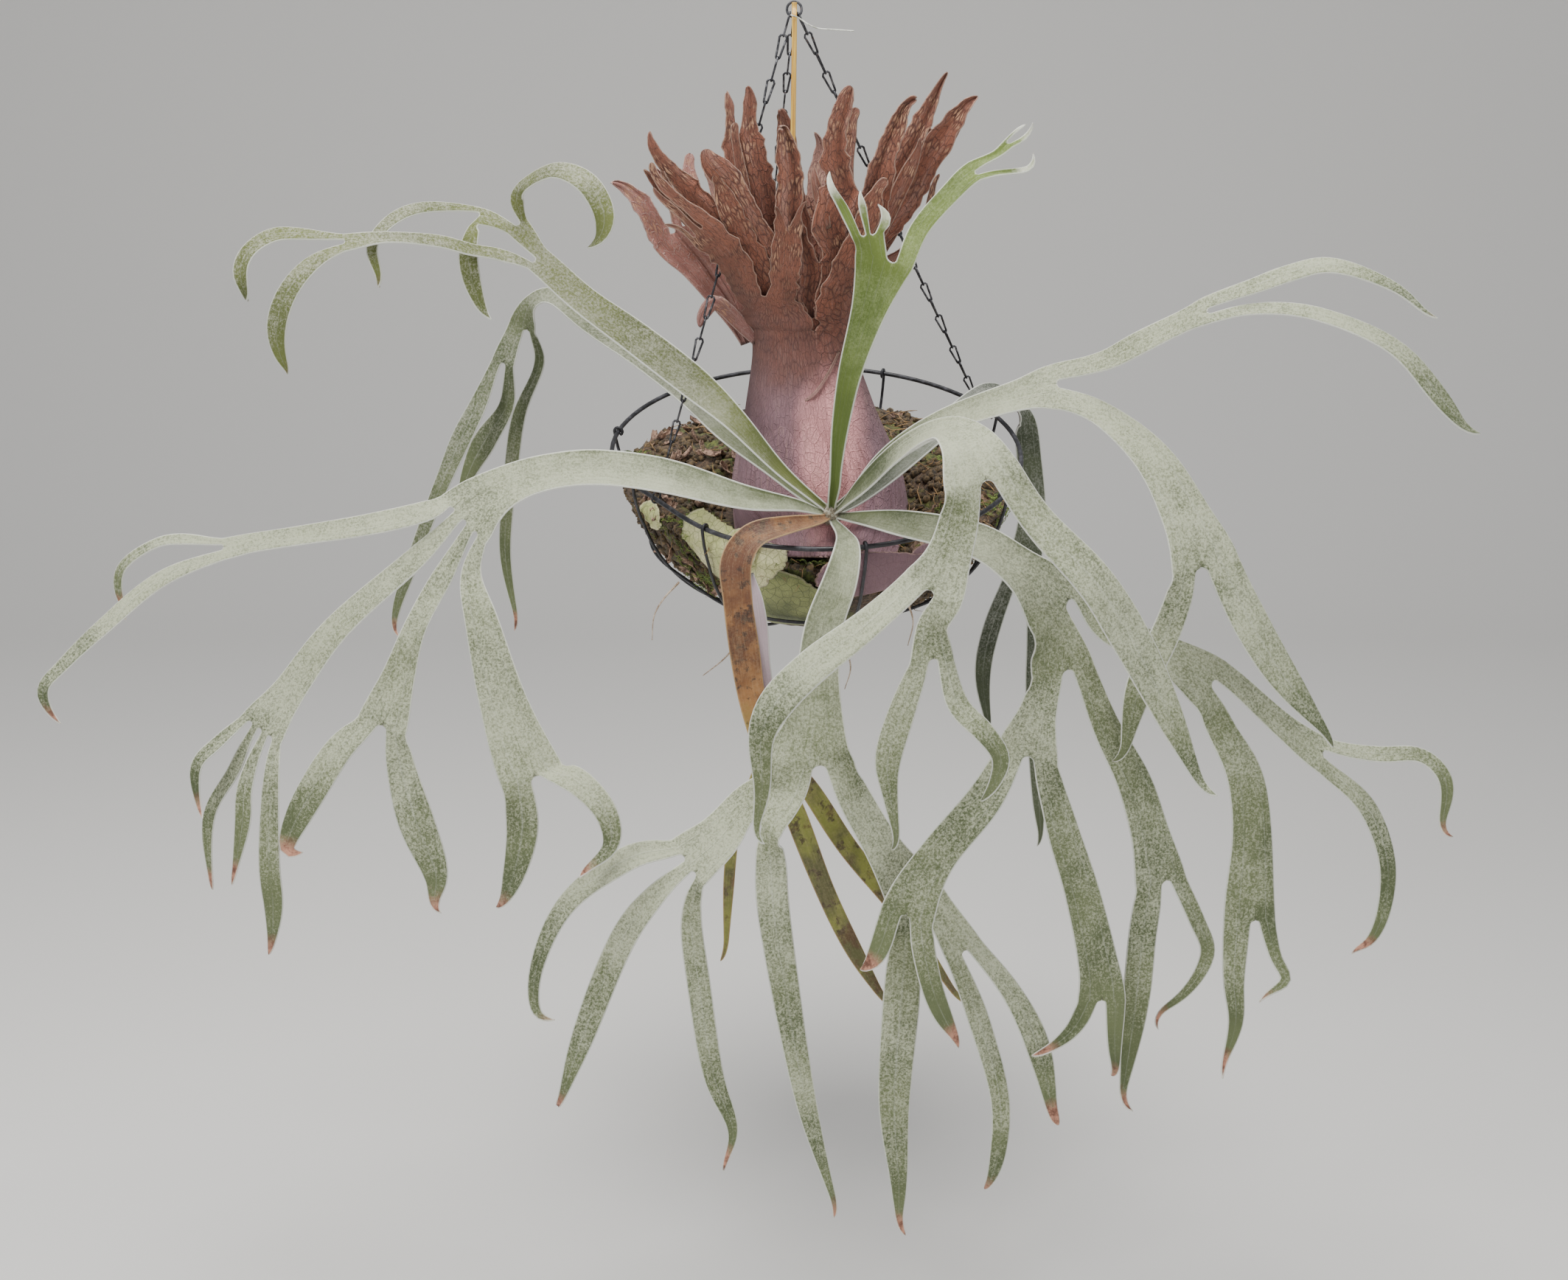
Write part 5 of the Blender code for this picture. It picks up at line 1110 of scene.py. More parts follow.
# The outermost sheet lies close over the neck and parts in front.
outerShield = forked(
    (0, (1.7, -1.75, -34, 12.2, 0, 190), (1.4, -1.62, -31.2, 10.8, 0, 190),
     (0.9, -0.4, -26.8, 8.6, 0, 190), (0.7, -0.3, -24.6, 8.4, 0, 170)),
    (1, (-2.2, -1.2, -21.8, 5.2, -24, 52)),
    (2, (-4.8, -3, -18.9, 2.8, -14, 20), (-7.2, -4.1, -16.6, 2.6, -8)),
    (3, (-9.5, -4.8, -14, 1.2), (-11.2, -5.2, -12, 0.35)),
    (3, (-9.2, -4.7, -15.2, 0.8), (-11, -4.9, -13.8, 0.3)),
    (3, (-8.8, -4.5, -16.6, 0.5), (-9.9, -4.6, -16.2, 0.25)),
    (2, (-0.8, -2.4, -19.6, 2.6, -8, 20), (-0.5, -3.4, -16.4, 2.2)),
    (3, (-1.2, -3.9, -14.7, 0.3)),
    (3, (0.4, -3.9, -14.5, 0.3)),
    (1, (3.3, -1.1, -21.8, 3.8, 24, 50), (4.6, -2.7, -18.2, 2.9, 14, 20), (5.8, -3.9, -15.4, 2),
     (6.6, -4.5, -12.8, 0.5)))

# The sheet beneath it parts a little higher.
middleShield = forked(
    (0, (1.2, -0.9, -29, 9.4, 0, 190), (0.9, -0.24, -26.8, 8.3, 0, 190), (0.8, -0.12, -23.6, 8.6, 0, 160)),
    (1, (-2, -0.9, -21, 4.2, -24, 50), (-3.6, -2.4, -17.8, 2.9, -10, 20), (-5.1, -3.8, -14.8, 2),
     (-6, -4.4, -12.6, 0.5)),
    (1, (2.9, -0.8, -21.2, 3.4, 20, 40), (3, -1.9, -18.4, 2.4, 8, 10), (2.6, -2.9, -15.8, 1.4),
     (2.3, -3.3, -14.2, 0.4)))

# Older sheets that close the sides between the front shield and the one behind.
sideShields = {
    "shield_side_left": ((-5.45, 5.2, -39.6, 6.4, -90, 62), (-5, 5.2, -36, 6, -90, 62),
        (-4, 4.9, -31.2, 4.8, -90, 62), (-3.35, 4.6, -27.2, 3.6, -90, 62),
        (-3.4, 4.4, -24.6, 2.4, -90, 62), (-3.9, 4.4, -21.6, 0.6, -90, 62)),
    "shield_side_right": ((9.8, 5.2, -39.6, 6.4, 90, 62), (9, 5.2, -36, 6, 90, 62),
        (6.8, 4.9, -31.2, 4.8, 90, 62), (5.15, 4.6, -27.2, 3.6, 90, 62), (5.1, 4.4, -24.6, 2.4, 90, 62),
        (5.6, 4.4, -21.6, 0.6, 90, 62)),
}


def makeShields():
    paper = makeShieldMaterial("paperyShield")
    pink = makeShieldMaterial(
        "pinkShield", mauve=rgb(206, 152, 148), warm=rgb(206, 144, 128), brown=rgb(196, 132, 120),
        dark=rgb(134, 70, 60), net=rgb(232, 196, 182), pale=rgb(224, 190, 182), rim=rgb(226, 198, 186))
    for name, tree in shields.items():
        material = pink if name in ("shield_pink", "shield_curl") else paper
        settle(makeBlade(name + "_leaf", tree, crownFace, shieldCut, material), "shield_paper", name)
    scrapCut = dict(shieldCut, columns=8, pleat=0.12, wave=0.2)
    sideCut = dict(shieldCut, pleat=0.06, wave=0.12, waist=0.0, curl=0.0)
    closeCut = dict(shieldCut, pleat=0.0)
    extra = [(name, forked((0, *stations)), scrapCut, None) for name, stations in shieldScraps.items()]
    extra += [(name, forked((0, *stations)), sideCut, None) for name, stations in sideShields.items()]
    # these two share the front shield's waves, and so stay clear of it
    extra += [("shield_outer", outerShield, closeCut, "shield_front_leaf"),
              ("shield_middle", middleShield, closeCut, "shield_front_leaf")]
    for name, tree, cut, seed in extra:
        settle(makeBlade(name, tree, crownFace, cut, paper, seed=seed), "shield_paper")
    print("shields made:", len(shields) + len(extra))


makeShields()


# Geometry Nodes: each tree is run once on a host, and its result is kept as a plain mesh


def startTree(name, **inputs):
    inputs = [("Geometry", "Geometry", None), *((label, *given) for label, given in inputs.items()),
              ("Finish", "Material", None)]
    return startGroup(name, "GeometryNodeTree", inputs, [("Geometry", "Geometry")])


def endTree(tree, geometry, given, out):
    flat = place(tree, "GeometryNodeRealizeInstances", Geometry=geometry).outputs["Geometry"]
    painted = place(tree, "GeometryNodeSetMaterial", Geometry=flat, Material=given["Finish"])
    return endEffect(tree, out, Geometry=painted.outputs["Geometry"])


def runTree(name, host, tree, material, **values):
    values["Finish"] = material
    modifier = host.modifiers.new(name, "NODES")
    modifier.node_group = tree
    for item in tree.interface.items_tree:
        if item.in_out == "INPUT" and item.name in values:
            modifier[item.identifier] = values[item.name]
    graph = bpy.context.evaluated_depsgraph_get()
    mesh = bpy.data.meshes.new_from_object(host.evaluated_get(graph))
    mesh.name = name
    mesh.materials.clear()
    mesh.materials.append(material)
    mesh.polygons.foreach_set("material_index", [0] * len(mesh.polygons))
    bpy.data.objects.remove(host, do_unlink=True)
    return addObject(name, mesh)


def readNumber(tree, label):
    node = place(tree, "GeometryNodeInputNamedAttribute", {"data_type": "FLOAT"}, Name=label)
    return node.outputs["Attribute"]


def turnLocally(tree, rotation, turn):
    return place(tree, "FunctionNodeRotateRotation", {"rotation_space": "LOCAL"},
                 Rotation=rotation, Rotate_By=turn).outputs["Rotation"]


def makeWireTree():
    # sweeps a round section along the host's edges, thinned by the host's own values
    tree, given, out = startTree("wireAlongPath", Radius=("Float", 0.001), Sides=("Int", 8))
    thin = readNumber(tree, "thin")
    path = place(tree, "GeometryNodeMeshToCurve", Mesh=given["Geometry"]).outputs["Curve"]
    sized = place(tree, "GeometryNodeSetCurveRadius", Curve=path, Radius=thin).outputs["Curve"]
    section = place(
        tree, "GeometryNodeCurvePrimitiveCircle", Resolution=given["Sides"], Radius=given["Radius"])
    sweep = place(tree, "GeometryNodeCurveToMesh", Curve=sized, Profile_Curve=section.outputs["Curve"],
                  Scale=thin, Fill_Caps=True)
    return endTree(tree, sweep.outputs["Mesh"], given, out)


def makeChainTree():
    # hangs the link at even steps along the path, each a quarter turn on from the one above
    tree, given, out = startTree("chainLinks", Link=("Object", None), Count=("Int", 10), Turn=("Float", 0.0))
    path = place(tree, "GeometryNodeMeshToCurve", Mesh=given["Geometry"]).outputs["Curve"]
    even = place(tree, "GeometryNodeResampleCurve", {"mode": "COUNT"}, Curve=path, Count=given["Count"])
    tangent = place(tree, "GeometryNodeInputTangent").outputs["Tangent"]
    aim = place(tree, "FunctionNodeAlignRotationToVector", {"axis": "X"}, Vector=tangent).outputs["Rotation"]
    index = place(tree, "GeometryNodeInputIndex").outputs["Index"]
    angle = maths(tree, "MULTIPLY_ADD", index, math.pi / 2, given["Turn"])
    twist = place(tree, "FunctionNodeAxisAngleToRotation", Axis=(1, 0, 0), Angle=angle).outputs["Rotation"]
    shape = place(tree, "GeometryNodeObjectInfo", Object=given["Link"]).outputs["Geometry"]
    links = place(tree, "GeometryNodeInstanceOnPoints", Points=even.outputs["Curve"], Instance=shape,
                  Rotation=turnLocally(tree, aim, twist))
    return endTree(tree, links.outputs["Instances"], given, out)


def makeStrewTree():
    # strews a small shape over the host, thicker where its share is high, spun at random and leaned outward
    tree, given, out = startTree(
        "strewOnSurface", Shape=("Object", None), Density=("Float", 1000.0), Seed=("Int", 1),
        Smallest=("Float", 0.6), Largest=("Float", 1.2), Lean=("Float", 0.4))
    lean, back = given["Lean"], times(tree, given["Lean"], -1.0)
    points = place(tree, "GeometryNodeDistributePointsOnFaces", Mesh=given["Geometry"], Seed=given["Seed"],
                   Density=times(tree, given["Density"], readNumber(tree, "share")))
    spin = place(tree, "FunctionNodeRandomValue", {"data_type": "FLOAT_VECTOR"}, Seed=given["Seed"],
                 Min=place(tree, "ShaderNodeCombineXYZ", X=back, Y=back).outputs[0],
                 Max=place(tree, "ShaderNodeCombineXYZ", X=lean, Y=lean, Z=2 * math.pi).outputs[0])
    turn = place(tree, "FunctionNodeEulerToRotation", Euler=spin.outputs["Value"]).outputs["Rotation"]
    size = place(tree, "FunctionNodeRandomValue", {"data_type": "FLOAT"}, Seed=given["Seed"])
    sizes = [socket for socket in size.inputs if socket.type == "VALUE"]
    least, most = (socket for socket in sizes if socket.name in ("Min", "Max"))
    feed(tree, least, given["Smallest"])
    feed(tree, most, given["Largest"])
    shape = place(tree, "GeometryNodeObjectInfo", Object=given["Shape"]).outputs["Geometry"]
    strewn = place(tree, "GeometryNodeInstanceOnPoints", Points=points.outputs["Points"], Instance=shape,
                   Rotation=turnLocally(tree, points.outputs["Rotation"], turn),
                   Scale=next(socket for socket in size.outputs if socket.type == "VALUE"))
    return endTree(tree, strewn.outputs["Instances"], given, out)


wireAlongPath = makeWireTree()
chainLinks = makeChainTree()
strewOnSurface = makeStrewTree()


def makeWires(name, paths, radius, sides, material):
    # paths: (points, closed, thinness at the far end)
    verts, edges, thin = [], [], []
    for points, closed, last in paths:
        base = len(verts)
        verts += points
        count = len(points)
        thin += [1 + (last - 1) * k / max(count - 1, 1) for k in range(count)]
        edges += [(base + k, base + k + 1) for k in range(count - 1)]
        if closed:
            edges.append((base + count - 1, base))
    host = makeHost(name + "Path", verts, edges, values={"thin": thin})
    piece = runTree(name, host, wireAlongPath, material, Radius=radius * cm, Sides=sides)
    piece.data.shade_smooth()
    return piece


def smoothPath(points, steps):
    points = [Vector(p) for p in points]
    knots = [points[0] * 2 - points[1]] + points + [points[-1] * 2 - points[-2]]
    path = [splineAt(knots, i, k / steps) for i in range(len(points) - 1) for k in range(steps)]
    return path + [points[-1]]


# the basket, and what it hangs by

basket = {
    "centre": Vector((1.9, 9.0, -35.2)),
    "radius": 17.8,
    "dent": (217, 24, 0.09),  # where the rim is pushed in: angle, spread and share
    "tilt": 19.4,
    "depth": 15.5,
    "rimWire": 0.2,
    "ribWire": 0.14,
    "ribs": (24, 68, 128, 168, 205, 238, 282, 330),
    "hoops": (-8.6, -15.3),
    "inset": 0.745,  # from the wires in to the moss
}
basketTilt = math.radians(basket["tilt"])
basketBack = Vector((0, math.cos(basketTilt), math.sin(basketTilt)))
basketUp = Vector((0, -math.sin(basketTilt), math.cos(basketTilt)))


def between(angle, other):
    return (angle - other + 180) % 360 - 180


def rimRadius(angle):
    middle, spread, share = basket["dent"]
    return basket["radius"] * (1 - share * math.exp(-(between(angle, middle) / spread) ** 2))


def basketPoint(angle, radius, height):
    turn = math.radians(angle)
    out = Vector((radius * math.cos(turn), 0, 0))
    return basket["centre"] + out + basketBack * (radius * math.sin(turn)) + basketUp * height


# black plastic coat, dusty on top and worn to rust in spots
coatedWire = makeWornMaterial(
    "coatedWire", 0.42, grain=(130.0, 4.0, 0.65), tones=(0.45, 0.75, rgb(30, 30, 34), rgb(74, 74, 80)),
    spots=(240.0, 0.62, 0.6, rgb(92, 58, 40)), bump=(0.0004, 0.5), shine=(0.3, 0.7, 0.32, 0.6))
# dark chain steel, brighter where the links rub
chainSteel = makeWornMaterial(
    "chainSteel", 0.4, grain=(210.0, 4.0, 0.6), tones=(0.42, 0.7, rgb(58, 58, 62), rgb(126, 126, 130)),
    spots=(300.0, 0.6, 0.7, rgb(104, 70, 50)), bump=(0.0002, 0.5), shine=(0.35, 0.7, 0.5, 0.28), metal=0.75)


def hoopPath(height):
    share = math.sqrt(max(0.0, 1 - (height / basket["depth"]) ** 2))
    return [basketPoint(a, rimRadius(a) * share, height) for a in range(0, 360, 4)], True, 1.0


def ribPath(angle):
    # hooked once round the rim, then down to the lowest hoop
    hook = basket["rimWire"] + basket["ribWire"] + 0.02
    points = []
    for k in range(10):
        turn = math.radians(-60 + 240 * k / 9)
        points.append(basketPoint(angle, rimRadius(angle) - hook * math.cos(turn), hook * math.sin(turn)))
    for k in range(1, 31):
        drop = math.radians(84 * k / 30)
        points.append(basketPoint(angle, rimRadius(angle) * math.cos(drop) + hook * max(0.0, 1 - k / 5),
                                  -basket["depth"] * math.sin(drop)))
    return points, False, 1.0


def makeBasket():
    paths = [hoopPath(h) for h in basket["hoops"]] + [ribPath(a) for a in basket["ribs"]]
    rim = makeWires("basketRim", [hoopPath(0)], basket["rimWire"], 12, coatedWire)
    ribs = makeWires("basketRibs", paths, basket["ribWire"], 8, coatedWire)
    for piece in (rim, ribs):
        settle(piece, "dark_wire", "wire_basket")
    print("basket made")


chain = {
    "pitch": 1.74,
    "wire": 0.09,
    "ringRadius": 0.57,
    "ringWire": 0.1,
    "ringAngles": {"chain_left": -132, "chain_back": -96, "chain_right": -52},
    "rimAngles": {"chain_left": 215, "chain_back": 108, "chain_right": 32},
}


def ringOfWire(centres, radius, sides, normal):
    # a closed tube round a flat loop of points
    verts = []
    for i, point in enumerate(centres):
        tangent = (centres[(i + 1) % len(centres)] - centres[i - 1]).normalized()
        side = tangent.cross(normal)
        for a in turnsOf(sides):
            verts.append(point + side * (radius * math.cos(a)) + normal * (radius * math.sin(a)))
    return verts, gridFaces(len(centres), sides, loop=True, flipped=True)


def linkShape(name, length, wide, narrow):
    # a pear-shaped loop along +X: a round eye, then a neck where the wire folds back close to itself
    centres = []
    for k in range(1, 8):
        turn = math.radians(-70 + 320 * k / 8)
        centres.append(Vector((wide - wide * math.sin(turn), wide * math.cos(turn), 0)))
    for k in range(7):
        turn = math.pi * k / 6
        centres.append(Vector((length - narrow + narrow * math.sin(turn), -narrow * math.cos(turn), 0)))
    return makePiece(name, *ringOfWire(centres, chain["wire"], 6, Vector((0, 0, 1))), chainSteel)


def makeChain(name):
    turn = math.radians(chain["ringAngles"][name])
    outward = Vector((math.cos(turn), 0, math.sin(turn)))
    top = outward * chain["ringRadius"]
    rimAngle = chain["rimAngles"][name]
    low, ahead = (basketPoint(angle, rimRadius(angle), 0) for angle in (rimAngle, rimAngle + 1))
    axis = (low - top).normalized()
    begin = top - axis * (chain["ringWire"] + chain["wire"] + 0.045)
    total = (low - begin).length + basket["rimWire"] + chain["wire"] + 0.05
    count = round((total - 0.3) / chain["pitch"])
    pitch = (total - 1.5 * chain["wire"]) / count
    length = pitch + 1.5 * chain["wire"]
    firstSide = axis.cross(Vector((-math.sin(turn), 0, math.cos(turn)))).normalized()
    lastSide = axis.cross((ahead - low).normalized()).normalized()
    shape = linkShape("linkShape", length, 0.3, 0.15)
    host = makeHost(name + "Path", [begin, begin + axis * (pitch * (count - 2))], [(0, 1)])
    flat = Vector((1, 0, 0)).rotation_difference(axis) @ Vector((0, 1, 0))
    first = math.atan2(axis.dot(flat.cross(firstSide)), flat.dot(firstSide))
    links = runTree(name + "_links", host, chainLinks, chainSteel, Link=shape, Count=count - 1, Turn=first)
    bpy.data.objects.remove(shape, do_unlink=True)
    links.data.shade_smooth()
    last = linkShape(name + "_hook", length, 0.2, 0.42)
    start = begin + axis * (pitch * (count - 1))
    turned = Matrix((axis, lastSide, axis.cross(lastSide))).transposed()
    for vert in last.data.vertices:
        vert.co = start * cm + turned @ vert.co
    settle(links, "dark_wire", name)
    settle(last, "dark_wire", name)


def makeRing():
    centres = [Vector((math.cos(a), 0, math.sin(a))) * chain["ringRadius"] for a in turnsOf(48)]
    ring = ringOfWire(centres, chain["ringWire"], 12, Vector((0, -1, 0)))
    settle(makePiece("hanging_eye", *ring, chainSteel), "dark_wire", "hang_ring")


cane = {
    "stops": ((0.0, -0.2, 0.5), (0.0, -0.22, 0.1), (0.0, -0.62, -0.6), (0.0, -0.64, -2), (-0.05, -0.6, -6),
              (-0.1, -0.55, -10), (-0.1, -0.5, -12.4)),
    "wide": 0.4,
    "thick": 0.1,
    "sides": 12,
    "joints": (-3.4, -9.2),  # heights of the cane's own joints
}


def makeCane():
    # a split cane: flat inside, rounded outside, with a faint ridge at each joint
    path = smoothPath(cane["stops"], 10)
    sides = cane["sides"]
    verts, flow = [], []
    for index, point in enumerate(path):
        ridge = sum(math.exp(-((point.z - z) / 0.12) ** 2) for z in cane["joints"])
        ends = 0.86 if index in (0, len(path) - 1) else 1.0
        for a in turnsOf(sides):
            out = math.sin(a)
            depth = cane["thick"] / 2 * (1 + 0.5 * ridge) * (out if out > 0 else 0.45 * out)
            reach = cane["wide"] / 2 * (1 + 0.06 * ridge) * ends
            verts.append(point + Vector((reach * math.cos(a), -depth, 0)))
            flow.append((math.cos(a), point.z))
    faces = gridFaces(len(path), sides)
    faces += [tuple(reversed(range(sides))), tuple(range(len(verts) - sides, len(verts)))]
    material = makeWornMaterial(
        "splitCane", 0.45, grain=(1.0, 3.0), tones=(0.35, 0.65, rgb(222, 182, 82), rgb(188, 138, 48)),
        spots=(120.0, 0.63, 0.5, rgb(120, 82, 36)), bump=(0.0003, 0.6), stretched=(900.0, 900.0, 22.0))
    settle(facesOutward(makePiece("cane_split", verts, faces, material, flow)), "cane", "cane_strip")


def makeTie():
    material = makeWornMaterial("paleTie", 0.4, grain=(260.0, 3.0), spots=None, bump=(0.0002, 0.4),
                                tones=(0.4, 0.7, rgb(222, 224, 214), rgb(160, 160, 146)))
    route = smoothPath(((-0.3, -0.8, -0.5), (0.3, -0.79, -0.7), (1.1, -0.8, -1.2), (1.9, -0.85, -1.5),
                        (3.2, -0.9, -1.6), (4.6, -0.95, -1.7)), 8)
    settle(makeWires("tie_twist", [(route, False, 0.8)], 0.06, 8, material), "tie", "tie_wire")


makeBasket()
for chainName in chain["ringAngles"]:
    makeChain(chainName)
makeRing()
makeCane()
makeTie()
print("chains, ring, cane and tie made")


# the root ball, its moss, bark, straw and roots

rootBall = {
    "sides": 120,
    "sideRows": 26,
    "topRows": 22,
    "lump": 0.42,  # how far the moss bulges, in centimetres
    "foot": (2.0, 4.0),  # the middle of the crown's foot, x and y
    "footDip": 10.5,  # the radius of the hollow round it
    "footBare": 8.6,  # nothing is strewn this near to it
    "greenSpots": (  # angle, share of the radius, size
        (262, 0.9, 0.16), (274, 0.97, 0.13), (282, 0.9, 0.08), (226, 0.97, 0.2), (338, 0.9, 0.16),
        (300, 0.98, 0.12), (120, 0.72, 0.14), (95, 0.62, 0.08), (20, 0.8, 0.12), (165, 0.9, 0.1)),
}


def ballPoint(angle, height, lift):
    reach = rimRadius(angle) - basket["inset"] + lift
    depth = basket["depth"] - basket["inset"] + lift
    slope = max(-1.0, min(0.0, height) / depth)
    return basketPoint(angle, reach * math.sqrt(max(0.0, 1 - slope * slope)), height)


def fromFoot(point):
    return math.hypot(point.x - rootBall["foot"][0], point.y - rootBall["foot"][1])


def mossTop(angle, share):
    turn = math.radians(angle)
    level = -2.0 - 1.5 * (math.sin(turn) * share + 1) / 2
    near = fromFoot(basketPoint(angle, (rimRadius(angle) - basket["inset"]) * share, 0)) / rootBall["footDip"]
    dip = 2.6 * (1 - near) ** 0.3 if near < 1 else 0.0
    lumps = 0.35 * math.sin(5 * turn + 3 * share) + 0.25 * math.sin(11 * turn - 7 * share)
    return level - dip + lumps * min(1.0, 3 * (1 - share))


def ballRows():
    # rows of points from the lowest of the side up and in over the top: (angle, share of the top, point)
    floor = -(basket["depth"] - basket["inset"]) * 0.965
    angles = [360 * j / rootBall["sides"] for j in range(rootBall["sides"])]
    rows = []
    for i in range(rootBall["sideRows"], 0, -1):
        drop = i / rootBall["sideRows"]
        levels = [mossTop(a, 1.0) + (floor - mossTop(a, 1.0)) * drop for a in angles]
        rows.append([(a, 1.0, ballPoint(a, level, 0)) for a, level in zip(angles, levels)])
    for i in range(rootBall["topRows"]):
        share = 0.985 * (1 - i / rootBall["topRows"]) + 0.02
        rows.append([(a, share, basketPoint(a, (rimRadius(a) - basket["inset"]) * share, mossTop(a, share)))
                     for a in angles])
    return rows


def lumpAt(point):
    big = noise.noise(point * 0.42) * 0.6 + noise.noise(point * 1.1 + Vector((9, 3, 5))) * 0.5
    return rootBall["lump"] * (big + 0.35 * noise.noise(point * 2.6) - 0.12)


def makeMossMaterial():
    material, tree, coords = startMaterial("mossyPeat", 0.95, sheen=0.1)
    patch = noiseAt(tree, coords["Object"], 24.0, 4.0, 0.6)
    fine = noiseAt(tree, coords["Object"], 320.0, 4.0, 0.75)
    dark = remap(tree, fine, 0.36, 0.64)
    peat = mixColour(tree, dark, rgb(40, 30, 22), rgb(104, 82, 60))
    moss = mixColour(tree, dark, rgb(48, 56, 24), rgb(112, 120, 54))
    colour = mixColour(tree, remap(tree, patch, 0.48, 0.62), peat, moss)
    return finishMaterial(material, colour, fine, 0.002, 0.9)


def lumpyBall(subdivisions, radius, moved):
    mesh = bmesh.new()
    bmesh.ops.create_icosphere(mesh, subdivisions=subdivisions, radius=radius)
    verts = [moved(v.co) for v in mesh.verts]
    faces = [tuple(v.index for v in f.verts) for f in mesh.faces]
    mesh.free()
    return verts, faces


def crumbShape(material):
    draw = random.Random(5)
    share = Vector((1, 0.75, 0.55)).length
    verts, faces = lumpyBall(1, 0.26, lambda point: point * draw.uniform(0.6, 1.25) * share)
    return makePiece("crumbShape", verts, faces, material)


def chipShape(material):
    # a curled plate of bark with broken ends
    outline = (0.62, 0.8, 0.74, 0.86, 0.55)
    steps = len(outline)
    verts, faces = [], []
    for k, wide in enumerate(outline):
        along = -0.9 + 1.8 * k / (steps - 1)
        curl = 0.34 * along * along
        for side, up in ((-1, 0.12), (0, -0.06), (1, 0.14)):
            verts.append(Vector((along, side * (0.42 * wide), 0.25 + curl + up)))
    top = len(verts)
    verts += [v + Vector((0, 0, 0.1)) for v in verts]
    for a in range(0, top - 3, 3):
        for b in (a, a + 1):
            faces += [(b, b + 3, b + 4, b + 1), (top + b, top + b + 1, top + b + 4, top + b + 3)]
        faces += [(top + a, top + a + 3, a + 3, a), (a + 2, a + 5, top + a + 5, top + a + 2)]
    for a in (0, top - 3):
        strip = [(b, b + 1, top + b + 1, top + b) for b in (a, a + 1)]
        faces += [tuple(reversed(f)) for f in strip] if a else strip
    return facesOutward(makePiece("chipShape", verts, faces, material, smooth=False))


def strawShape(material):
    # one bent fibre, thin at both ends: the middle of each ring and its radius
    rings = (((-1.5, 0.1, 0.1), 0.025), ((-0.8, -0.12, 0.3), 0.05), ((0, 0.06, 0.36), 0.055),
             ((0.8, 0.2, 0.28), 0.045), ((1.6, -0.1, 0.5), 0.015))
    verts = [Vector(centre) + Vector((0, radius * math.cos(a), radius * math.sin(a)))
             for centre, radius in rings for a in turnsOf(3)]
    faces = gridFaces(len(rings), 3) + [(2, 1, 0), (12, 13, 14)]
    return facesOutward(makePiece("strawShape", verts, faces, material))


def sprigShape(material):
    # a spray of spikemoss: an arching stem with short scale leaves that shorten to the tip
    verts, faces = [], []
    draw = random.Random(11)
    for stem in turnsOf(5):
        turn = stem + draw.uniform(-0.4, 0.4)
        out = Vector((math.cos(turn), math.sin(turn), 0))
        side = Vector((-out.y, out.x, 0))
        for k in range(7):
            at = k / 6
            root = out * (0.15 + 0.75 * at) + Vector((0, 0, 0.3 + 0.75 * at - 0.65 * at * at))
            reach = 0.26 * (1 - 0.7 * at)
            for way in (-1, 1):
                base = len(verts)
                tip = root + side * (way * reach) + out * 0.1 + Vector((0, 0, 0.08))
                middle = (root + tip) / 2
                wide = out * 0.07
                verts += [root, middle + wide, tip, middle - wide, middle + Vector((0, 0, 0.035)),
                          middle - Vector((0, 0, 0.02))]
                for j in range(4):
                    a, b = base + j, base + (j + 1) % 4
                    faces += [(a, b, base + 4), (b, a, base + 5)]
    return makePiece("sprigShape", verts, faces, material, smooth=False)


def leftness(angle):
    # 1 on the left and back of the basket, 0 on the right
    return 0.5 - 0.5 * math.cos(math.radians(angle - 20))


def covered(angle, topShare, point):
    # under the crown's foot, or behind a young shield
    if fromFoot(point) < rootBall["footBare"]:
        return True
    if topShare < 1:
        return False
    height = (point - basket["centre"]).dot(basketUp)
    for shieldAngle, level, wide, tall, *_ in youngShields.values():
        across = math.radians(between(angle, shieldAngle)) * basket["radius"] / wide
        if math.hypot(across, (height - level) / tall) < 0.93:
            return True
    return False


# how thickly each kind lies at a place, from 0 to 1


def chipShare(angle, topShare, point):
    thick = (0.15 + 0.85 * leftness(angle)) * (1.0 if topShare < 1 else 0.25)
    return thick * (0.4 + noise.noise(point * 0.5) * 1.6)


def strawShare(angle, topShare, point):
    return (1.1 - leftness(angle)) * (1.0 if topShare < 1 else 0.3) * (0.75 + noise.noise(point * 0.4))


def crumbShare(angle, topShare, point):
    return 0.65 + 0.7 * noise.noise(point * 0.8)


def greenShare(angle, topShare, point):
    best = 0.0
    for spotAngle, spotShare, size in rootBall["greenSpots"]:
        away = math.radians(between(angle, spotAngle))
        if topShare >= 0.999:
            below = -(point - basketPoint(angle, 0, 0)).z * 0.02
            gap = math.hypot(away, max(0.0, below - 0.06))
        else:
            gap = math.hypot(away * topShare, topShare - spotShare)
        best = max(best, 1 - gap / size)
    return best * 1.6 + 0.06 * (noise.noise(point * 0.6) > 0.15)


